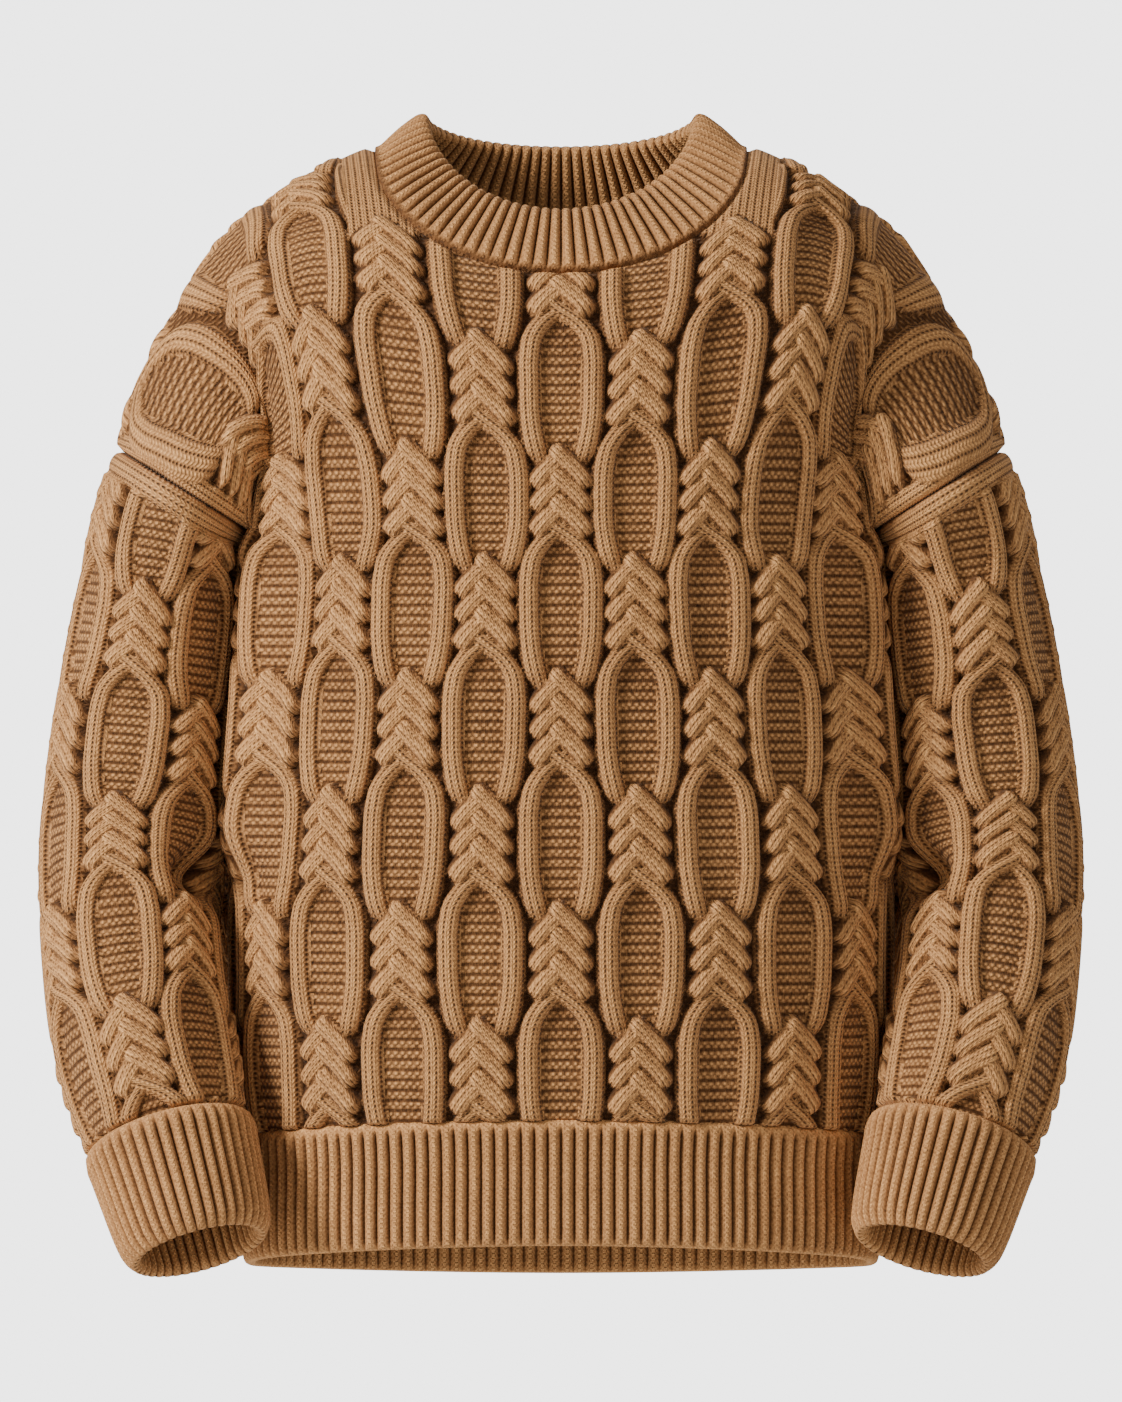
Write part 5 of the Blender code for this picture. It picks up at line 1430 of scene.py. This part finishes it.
@dataclass
class Neckband(Band):
    """The ribbed neckband, doubled and rolled."""

    form: BodyForm = field(default_factory=BodyForm)
    ribs: int = 80
    half_width: float = 0.080
    front: float = 0.070
    back: float = 0.055
    side_z: float = 0.0190
    slope_front: float = 0.85
    sink: float = 0.0045
    roll: float = 0.0018
    roll_middle: float = 0.58
    roll_half_width: float = 0.30
    slope_back: float = -0.25
    turn_share: float = 0.3
    # Painted shade near the neck seam: the lightness there and its gain up the band, and how far up
    # it fades out
    seam_light: tuple = (0.30, 0.70)
    seam_light_share: float = 0.09
    quarter_steps: int = 160
    profile: tuple = (
        # along, out, rib
        (0.000, 0.0026, 0.1),
        (0.100, 0.0050, 0.8),
        (0.300, 0.0066, 1.0),
        (0.600, 0.0070, 1.0),
        (0.860, 0.0070, 1.0),
        (0.990, 0.0038, 0.8),
        (0.990, -0.0028, 0.8),
        (0.860, -0.0044, 0.9),
        (0.450, -0.0040, 1.0),
        (0.000, -0.0040, 0.3),
    )
    steps: int = 5
    tension: float = 0.42

    def quarter(self, side: Side) -> tuple[np.ndarray, np.ndarray, np.ndarray]:
        """Follows a quarter of the band on the +X side, from a panel's middle to the shoulder.

        Args:
            side: the panel.

        Returns:
            Points of the neck seam and of the band's crest, and the seam's outward directions. The
            seam follows the neck's cut, and then the panel's edge up to the shoulder line.
        """
        tip = self.form.neck_column
        turn = np.linspace(0.0, 0.5 * np.pi, self.quarter_steps)[:-1]
        n = tip * np.sin(turn)
        cut = self.form.neck_v(n, side)
        shoulder = float(self.form.top_v(np.array(tip), side))
        rise = np.linspace(cut[-1], shoulder, self.quarter_steps)[1:]
        n = np.concatenate((n, np.full(len(rise), tip)))
        v = np.concatenate((cut, rise))
        seam = self.form.point(n, v, side)
        out = self.form.normals(n, v, side)
        out[-1] = unit(out[-1] * (1.0, 0.0, 1.0))
        turn = np.linspace(0.0, 0.5 * np.pi, len(n))
        y = (self.back if side is Side.BACK else -self.front) * np.cos(turn)
        slope = self.slope_back if side is Side.BACK else self.slope_front
        crest = np.stack((self.half_width * np.sin(turn), y, self.side_z + slope * y), axis=1)
        return seam, crest, out

    def evenly(self, line: np.ndarray, shares: np.ndarray, values: np.ndarray) -> np.ndarray:
        """Returns the vectors that belong to a line's points, at shares of the line's length."""
        way = np.concatenate(((0.0,), np.cumsum(np.linalg.norm(np.diff(line, axis=0), axis=1))))
        readings = [np.interp(shares * way[-1], way, values[:, axis]) for axis in range(3)]
        return np.stack(readings, axis=1)

    def once_round(self, count: int) -> tuple[np.ndarray, ...]:
        """Returns even points of the seam and the crest and the outward directions, once round."""
        quarters = {side: self.quarter(side) for side in Side}
        length = {
            side: self.line_length(0.5 * (seam + crest))
            for side, (seam, crest, _) in quarters.items()
        }
        half = sum(length.values())
        place = 2.0 * half * np.arange(count) / count
        on_right = place > half
        along = np.where(on_right, 2.0 * half - place, place)
        mirror = np.where(on_right[:, None], (-1.0, 1.0, 1.0), (1.0, 1.0, 1.0))
        shares = {
            Side.FRONT: np.clip(along / length[Side.FRONT], 0.0, 1.0),
            Side.BACK: np.clip((half - along) / length[Side.BACK], 0.0, 1.0),
        }
        behind = (along > length[Side.FRONT])[:, None]
        results = []
        for line, values in ((0, 0), (1, 1), (0, 2)):
            front, back = (
                self.evenly(quarters[side][line], shares[side], quarters[side][values])
                for side in Side
            )
            results.append(np.where(behind, back, front) * mirror)
        return results[0], results[1], unit(results[2])

    def line_length(self, line: np.ndarray) -> float:
        """Returns the length of a line of points."""
        return float(np.linalg.norm(np.diff(line, axis=0), axis=1).sum())

    def build(self) -> bpy.types.Object:
        """Returns:
            The neckband's object.
        """
        profile = smooth_profile(np.array(self.profile), self.steps, self.tension)
        count = self.ribs * self.rib.points
        seam, crest, seam_out = self.once_round(count)
        climb = crest - seam
        loop = np.roll(seam, -1, axis=0) - np.roll(seam, 1, axis=0)
        normal = unit(np.cross(loop, climb))
        away = unit(np.cross(seam_out, loop))
        away = away * np.sign(np.sum(away * climb, axis=1))[:, None]
        share = ramp(profile[:, 0] / self.turn_share)[:, None, None]
        direction = unit(seam_out * (1.0 - share) + normal * share)
        wave = self.rib.wave(np.arange(count) / self.rib.points + 0.5)
        inside = np.where(profile[:, 1:2] < 0.0, -1.0, 1.0)
        outer = (profile[:, 1:2] > 0.0) * profile[:, 2:3]
        sunk = self.sink * (1.0 - profile[:, 0:1] ** 3)
        off_roll = (profile[:, 0:1] - self.roll_middle) / self.roll_half_width
        rolled = self.roll * np.exp(-(off_roll**2))
        at_side = (crest[:, 0] / self.half_width) ** 4
        height = profile[:, 1:2] + profile[:, 2:3] * wave * inside
        height = height + outer * (rolled - sunk) * at_side
        base = seam + away * GAP + climb * profile[:, 0, None, None]
        points = base + direction * height[..., None]
        # painted shade of the ribs, darker in the grooves and near the seam where the band meets the
        # body
        low, gain = self.seam_light
        seam_shade = low + gain * ramp(profile[:, 0:1] / self.seam_light_share)
        rise = self.rib.lightness(wave, profile[:, 2:3]) * seam_shade
        piece = self.ring("neck_ribbing", points, rise, self.ribs, False)
        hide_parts("neckband")
        return piece


@dataclass
class Cuff(Band):
    """One ribbed cuff, turned back over the sleeve's end."""

    form: SleeveForm = field(default_factory=lambda: SleeveForm(BodyForm()))
    hand: Hand = Hand.RIGHT
    ribs: int = 40
    taper: float = 0.055
    profile: tuple = (
        # along, out, rib
        (0.0003, -0.0040, 0.3),
        (0.0003, 0.0010, 0.0),
        (-0.0015, 0.0012, 0.0),
        (-0.0040, 0.0042, 0.1),
        (-0.0010, 0.0076, 0.5),
        (0.0060, 0.0084, 1.0),
        (0.0130, 0.0080, 1.0),
        (0.0300, 0.0074, 1.0),
        (0.0500, 0.0066, 1.0),
        (0.0640, 0.0050, 0.9),
        (0.0715, 0.0005, 0.6),
        (0.0660, -0.0042, 0.8),
        (0.0400, -0.0044, 1.0),
        (0.0200, -0.0042, 1.0),
    )
    steps: int = 4
    tension: float = 0.36
    lining_out: float = -0.0005

    def build(self) -> bpy.types.Object:
        """Returns:
            The cuff's object.
        """
        profile = smooth_profile(np.array(self.profile), self.steps, self.tension)
        along = profile[:, 0]
        count = self.ribs * self.rib.points
        angle = 2.0 * np.pi * np.arange(count) / count
        centre, up, inward, forward = self.form.axes(np.maximum(-along, 0.0))
        below = np.maximum(along, 0.0)
        size = self.form.sizes(np.maximum(-along, 0.0)) - self.taper * below[:, None]
        wave = self.rib.wave(np.arange(count) / self.rib.points + 0.5)
        inside = np.where(profile[:, 1:2] < self.lining_out, -1.0, 1.0)
        height = profile[:, 1:2] + profile[:, 2:3] * wave * inside
        across = ((size[:, 0:1] + height) * np.sin(angle))[..., None] * inward[:, None]
        ahead = ((size[:, 1:2] + height) * np.cos(angle))[..., None] * forward[:, None]
        points = (centre - up * below[:, None])[:, None] + across + ahead
        points = points * (-self.hand.value, 1.0, 1.0)
        # painted shade of the ribs, darker in the grooves
        rise = self.rib.lightness(wave, profile[:, 2:3])
        flipped = self.hand is Hand.RIGHT
        piece = self.ring(f"cuff_{self.hand.word}_ribbing", points, rise, self.ribs, flipped)
        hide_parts(f"cuff_{self.hand.word}")
        return piece


# ---------------------------------------------------------------- wool


Value = bpy.types.NodeSocket | float


class Graph:
    """Short ways to add nodes to one node tree."""

    def __init__(self, tree: bpy.types.NodeTree) -> None:
        """Keeps the tree that the nodes go in."""
        self.tree = tree

    def node(self, kind: str, inputs: dict | None = None, **settings: object) -> bpy.types.Node:
        """Adds a node.

        Args:
            kind: the node's type name.
            inputs: values or sockets by input name or number.
            settings: the node's own properties.

        Returns:
            The node.
        """
        node = self.tree.nodes.new(kind)
        for key, value in settings.items():
            setattr(node, key, value)
        for key, value in (inputs or {}).items():
            if isinstance(value, bpy.types.NodeSocket):
                self.tree.links.new(value, node.inputs[key])
            else:
                node.inputs[key].default_value = value
        return node

    def math(self, operation: str, *values: Value, clamp: bool = False) -> bpy.types.NodeSocket:
        """Adds a Math node and returns its output."""
        inputs = dict(enumerate(values))
        return self.node("ShaderNodeMath", inputs, operation=operation, use_clamp=clamp).outputs[0]

    def blend(self, share: Value, low: Value, high: Value) -> bpy.types.NodeSocket:
        """Adds a float Mix node and returns its output."""
        inputs = {"Factor": share, "A": low, "B": high}
        return self.node("ShaderNodeMix", inputs, data_type="FLOAT").outputs["Result"]


def new_group(
    name: str, inputs: dict[str, str], outputs: dict[str, str]
) -> tuple[Graph, dict, bpy.types.Node]:
    """Starts a node group.

    Args:
        name: the group's name.
        inputs: socket types by name.
        outputs: socket types by name.

    Returns:
        The group's graph, its input sockets by name, and its output node.
    """
    tree = bpy.data.node_groups.new(name, "ShaderNodeTree")
    for direction, sockets in (("INPUT", inputs), ("OUTPUT", outputs)):
        for socket, kind in sockets.items():
            tree.interface.new_socket(socket, in_out=direction, socket_type=kind)
    start = tree.nodes.new("NodeGroupInput")
    end = tree.nodes.new("NodeGroupOutput")
    return Graph(tree), {key: start.outputs[key] for key in inputs}, end


def stitch_group() -> bpy.types.NodeTree:
    """Builds the group that draws single stitches.

    A knit wale is a rounded ridge with slanting legs, a faint crease along its middle and a dotted
    dark line along each edge, and an arm's are fainter and round off to its sides. The floor of an
    eye has ridges of two staggered rows of short beads, and the ground has single beads in rows.
    The Height is bump and also tone, so its low places are painted shade in the gaps.

    Returns:
        The group: Stitches and Bumps in, Height out.
    """
    graph, given, end = new_group(
        "knit_stitches",
        {"Stitches": "NodeSocketVector", "Bumps": "NodeSocketFloat"},
        {"Height": "NodeSocketFloat"},
    )
    turn = 2.0 * np.pi
    parts = graph.node("ShaderNodeSeparateXYZ", {0: given["Stitches"]})
    wale, row = parts.outputs[0], parts.outputs[1]

    def wave(place: Value, low: float, high: float) -> bpy.types.NodeSocket:
        """Adds a cosine of a place in turns, from low to high."""
        cosine = graph.math("COSINE", graph.math("MULTIPLY", place, turn))
        return graph.math("MULTIPLY_ADD", cosine, 0.5 * (high - low), 0.5 * (high + low))

    from_middle = graph.math("ABSOLUTE", graph.math("SUBTRACT", graph.math("FRACT", wale), 0.5))
    from_edge = graph.math("SUBTRACT", 0.5, from_middle)
    round_edge = graph.math("POWER", graph.math("MULTIPLY", from_edge, 4.0, clamp=True), 0.9)
    edge = graph.blend(round_edge, wave(row, -0.25, 0.60), 1.0)
    crease = graph.math("MULTIPLY_ADD", from_middle, 2.4, 0.72, clamp=True)
    legs = wave(graph.math("MULTIPLY_ADD", from_middle, 1.5, row), 0.64, 1.04)
    knit = graph.math("MULTIPLY", edge, graph.math("MULTIPLY", crease, legs))

    rows = []
    for middle, shift, crest in ((0.36, 0.0, 1.08), (0.66, 0.5, 0.88)):
        off = graph.math("MULTIPLY", graph.math("SUBTRACT", graph.math("FRACT", row), middle), 3.6)
        hump = graph.math("SUBTRACT", 1.0, graph.math("MULTIPLY", off, off), clamp=True)
        beads = wave(graph.math("ADD", wale, shift), 0.30 * crest, crest)
        rows.append(graph.math("MULTIPLY", hump, beads))
    floor = graph.math("MAXIMUM", *rows)

    stagger = graph.math("MULTIPLY", graph.math("FLOOR", graph.math("ADD", row, 0.5)), 0.5)
    beads = wave(graph.math("ADD", wale, stagger), 0.25, 0.9)
    ground = graph.math("MULTIPLY", beads, wave(row, 0.2, 1.0))

    low = graph.blend(graph.math("GREATER_THAN", given["Bumps"], 1.5), floor, ground)
    # An arm's rope is darker towards its sides: bump, and through the tone painted shade
    off = graph.math("SUBTRACT", wale, 0.5)
    off = graph.math("MULTIPLY", off, PATTERN.arm_wale / PATTERN.arm_half_width)
    off = graph.math("POWER", graph.math("ABSOLUTE", off), 4.0)
    round_arm = graph.math("SUBTRACT", 1.0, off, clamp=True)
    close = graph.math("MULTIPLY_ADD", knit, 0.70, 0.34)
    close = graph.math("MULTIPLY", close, graph.math("MULTIPLY_ADD", round_arm, 1.15, -0.10))
    knit = graph.blend(graph.math("LESS_THAN", given["Bumps"], -0.5), knit, close)
    height = graph.blend(graph.math("GREATER_THAN", given["Bumps"], 0.5), knit, low)
    graph.tree.links.new(height, end.inputs["Height"])
    return graph.tree


def fibre_group() -> bpy.types.NodeTree:
    """Builds the group for spun fibres: streaks and plies along the yarn, specks, slow changes.

    Returns:
        The group: Stitches and Scale in, Streak, Ply, Fine and Slow out.
    """
    graph, given, end = new_group(
        "wool_fibres",
        {"Stitches": "NodeSocketVector", "Scale": "NodeSocketFloat"},
        {name: "NodeSocketFloat" for name in ("Streak", "Ply", "Fine", "Slow")},
    )
    place = graph.node("ShaderNodeTexCoord").outputs["Object"]

    def on_yarn(across: float, along: float) -> bpy.types.NodeSocket:
        """Adds the place in stitches, scaled across and along the yarn."""
        inputs = {0: given["Stitches"], 1: (across, along, 1.0)}
        return graph.node("ShaderNodeVectorMath", inputs, operation="MULTIPLY").outputs[0]

    def noise(vector: bpy.types.NodeSocket, scale: Value, detail: float) -> bpy.types.NodeSocket:
        """Adds a noise and returns its value."""
        inputs = {"Vector": vector, "Scale": scale, "Detail": detail}
        return graph.node("ShaderNodeTexNoise", inputs).outputs["Fac"]

    fibres = {
        "Streak": noise(on_yarn(7.0, 1.7), 1.0, 2.0),
        "Ply": noise(on_yarn(2.2, 0.45), 1.0, 1.0),
        "Fine": noise(place, given["Scale"], 3.0),
        "Slow": noise(place, 22.0, 2.0),
    }
    for name, value in fibres.items():
        graph.tree.links.new(value, end.inputs[name])
    return graph.tree


@dataclass(frozen=True)
class Wool:
    """A matt, slightly fuzzy wool in one shade, with painted shade: dark in its gaps and grooves and
    light on its crests.
    """

    name: str
    shades: tuple = (
        # The low stops are the painted shade of grooves and gaps
        # tone, red, green, blue
        (0.00, 0.030, 0.010, 0.003),
        (0.25, 0.140, 0.056, 0.018),
        (0.60, 0.500, 0.235, 0.086),
        (1.00, 1.000, 0.515, 0.185),
    )
    fibre_scale: float = 520.0
    stitch_depth: float = 0.0016
    contrast: float = 1.0
    roughness: float = 0.95
    specular: float = 0.15
    sheen: float = 0.12
    sheen_roughness: float = 0.5
    sheen_tint: tuple = (0.90, 0.68, 0.48)
    streak_gain: float = 0.50
    ply_gain: float = 1.00
    fine_gain: float = 0.64
    slow_gain: float = 0.20

    def material(
        self, stitches: bpy.types.NodeTree, fibres: bpy.types.NodeTree
    ) -> bpy.types.Material:
        """Builds the material.

        The tone is the stitch's height times the cable's painted shade, with fibres over it: the gaps
        between stitches and the grooves are painted darker.

        Args:
            stitches: the group that draws single stitches.
            fibres: the group for spun fibres.

        Returns:
            The material.
        """
        material = bpy.data.materials.new(self.name)
        material.use_nodes = True
        graph = Graph(material.node_tree)
        shader = material.node_tree.nodes["Principled BSDF"]
        uv = graph.node("ShaderNodeUVMap", uv_map=UV_NAME).outputs["UV"]
        bumps = graph.node("ShaderNodeAttribute", attribute_name=BUMPS_NAME).outputs["Fac"]
        rise = graph.node("ShaderNodeAttribute", attribute_name=PAINTED_SHADE_NAME).outputs["Fac"]
        stitch = graph.node("ShaderNodeGroup", node_tree=stitches)
        graph.tree.links.new(uv, stitch.inputs["Stitches"])
        graph.tree.links.new(bumps, stitch.inputs["Bumps"])
        fibre = graph.node("ShaderNodeGroup", node_tree=fibres)
        graph.tree.links.new(uv, fibre.inputs["Stitches"])
        fibre.inputs["Scale"].default_value = self.fibre_scale
        level = 0.95 * (1.0 - self.contrast)
        height = graph.math("MULTIPLY_ADD", stitch.outputs["Height"], self.contrast, level)
        # painted shade in the gaps between stitches, from the stitch's height
        tone = graph.math("MULTIPLY_ADD", height, 0.66, 0.22)
        # painted shade of the cables and ribs, from the rise attribute
        tone = graph.math("MULTIPLY", tone, graph.math("MULTIPLY_ADD", rise, 0.86, 0.14))

        def fleck(name: str, gain: float) -> bpy.types.NodeSocket:
            """Adds one of the fibres' noises, as strong as gain, about 0."""
            return graph.math("MULTIPLY_ADD", fibre.outputs[name], gain, -0.5 * gain)

        streak = fleck("Streak", self.streak_gain)
        fine = fleck("Fine", self.fine_gain)
        slow = fleck("Slow", self.slow_gain)
        on_arm = graph.math("LESS_THAN", bumps, -0.5)
        ply = graph.math("MULTIPLY", fleck("Ply", self.ply_gain), on_arm)
        speckle = graph.math("ADD", graph.math("ADD", streak, ply), graph.math("ADD", fine, slow))
        # fibre specks are dimmed in the painted shade
        speckle = graph.math("MULTIPLY", speckle, graph.math("MULTIPLY_ADD", rise, 0.7, 0.3))
        tone = graph.math("ADD", tone, speckle, clamp=True)
        ramp_node = graph.node("ShaderNodeValToRGB", {"Fac": tone})
        stops = ramp_node.color_ramp.elements
        stops.remove(stops[1])
        for number, (place, *shade) in enumerate(self.shades):
            stop = stops[0] if number == 0 else stops.new(place)
            stop.position = place
            stop.color = (*shade, 1.0)
        graph.tree.links.new(ramp_node.outputs["Color"], shader.inputs["Base Color"])
        relief = graph.math("MULTIPLY_ADD", streak, 0.35, height)
        relief = graph.math("ADD", relief, graph.math("MULTIPLY", fine, 0.4))
        inputs = {"Height": relief, "Distance": self.stitch_depth, "Strength": 1.0}
        bump = graph.node("ShaderNodeBump", inputs)
        graph.tree.links.new(bump.outputs["Normal"], shader.inputs["Normal"])
        surface = {
            "Roughness": self.roughness,
            "Metallic": 0.0,
            "Specular IOR Level": self.specular,
            "Sheen Weight": self.sheen,
            "Sheen Roughness": self.sheen_roughness,
            "Sheen Tint": (*self.sheen_tint, 1.0),
        }
        for key, value in surface.items():
            shader.inputs[key].default_value = value
        return material


# ---------------------------------------------------------------- studio


@dataclass
class Studio:
    """A pale floor far below the hanging garment, soft lights and the camera."""

    backdrop: float = 3.6
    ambient: float = 0.26
    floor_z: float = -1.25
    floor_half: float = 6.0
    floor_shade: float = 0.78
    floor_roughness: float = 0.9
    camera_y: float = -6.0
    camera_z: float = -0.335
    frame_height: float = 0.8552
    sensor: float = 36.0
    target: tuple = (0.0, 0.0, -0.33)
    lamps: tuple = (
        # name, place, side, watts
        ("key", (-3.0, -1.8, 1.4), 1.0, 213.0),
        ("fill", (2.0, -2.2, 1.5), 2.0, 22.0),
        ("back", (0.6, 2.6, 1.6), 1.8, 30.0),
    )

    def lamp(self, name: str, place: tuple, side: float, power: float) -> None:
        """Adds a square area light that faces the garment.

        Args:
            name: the light's name.
            place: where it stands.
            side: its width and height.
            power: its power in watts.
        """
        light = bpy.data.lights.new(name, "AREA")
        light.shape = "SQUARE"
        light.size = side
        light.energy = power
        lamp = bpy.data.objects.new(name, light)
        lamp.location = place
        ahead = Vector(self.target) - Vector(place)
        lamp.rotation_euler = ahead.to_track_quat("-Z", "Y").to_euler()
        bpy.context.scene.collection.objects.link(lamp)

    def build(self) -> None:
        """Makes the world, the floor, the lights and the camera."""
        world = bpy.data.worlds.new("studio")
        world.use_nodes = True
        bpy.context.scene.world = world
        graph = Graph(world.node_tree)
        background = world.node_tree.nodes["Background"]
        seen = graph.node("ShaderNodeLightPath").outputs["Is Camera Ray"]
        strength = graph.blend(seen, self.ambient, self.backdrop)
        graph.tree.links.new(strength, background.inputs["Strength"])
        background.inputs["Color"].default_value = (1.0, 1.0, 1.0, 1.0)
        mesh = bpy.data.meshes.new("floor")
        half = self.floor_half
        corners = [(-half, -half), (half, -half), (half, half), (-half, half)]
        mesh.from_pydata([(x, y, self.floor_z) for x, y in corners], [], [(0, 1, 2, 3)])
        floor = bpy.data.objects.new("floor", mesh)
        paint = bpy.data.materials.new("pale_floor")
        paint.use_nodes = True
        shader = paint.node_tree.nodes["Principled BSDF"]
        shade = self.floor_shade
        shader.inputs["Base Color"].default_value = (shade, shade, shade, 1.0)
        shader.inputs["Roughness"].default_value = self.floor_roughness
        mesh.materials.append(paint)
        bpy.context.scene.collection.objects.link(floor)
        for name, place, side, power in self.lamps:
            self.lamp(name, place, side, power)
        camera = bpy.data.cameras.new("camera")
        camera.sensor_width = self.sensor
        camera.lens = -self.camera_y * self.sensor / self.frame_height
        viewer = bpy.data.objects.new("camera", camera)
        viewer.location = (0.0, self.camera_y, self.camera_z)
        viewer.rotation_euler = (0.5 * np.pi, 0.0, 0.0)
        bpy.context.scene.collection.objects.link(viewer)
        bpy.context.scene.camera = viewer


def main() -> None:
    """Builds the sweater and the studio."""
    logging.basicConfig(level=logging.INFO, format="%(name)s: %(message)s")
    stitches = stitch_group()
    fibres = fibre_group()
    cable_wool = Wool("cable_wool").material(stitches, fibres)
    rib_wool = Wool("rib_wool", contrast=0.42).material(stitches, fibres)
    body = BodyForm()
    arm = SleeveForm(body)
    for side in Side:
        Panel(body, side, cable_wool).build()
    for hand in Hand:
        Sleeve(arm, hand, cable_wool).build()
        Cuff(rib_wool, form=arm, hand=hand).build()
    HemBand(rib_wool, form=body).build()
    Neckband(rib_wool, form=body).build()
    Studio().build()


if __name__ == "__main__":
    main()
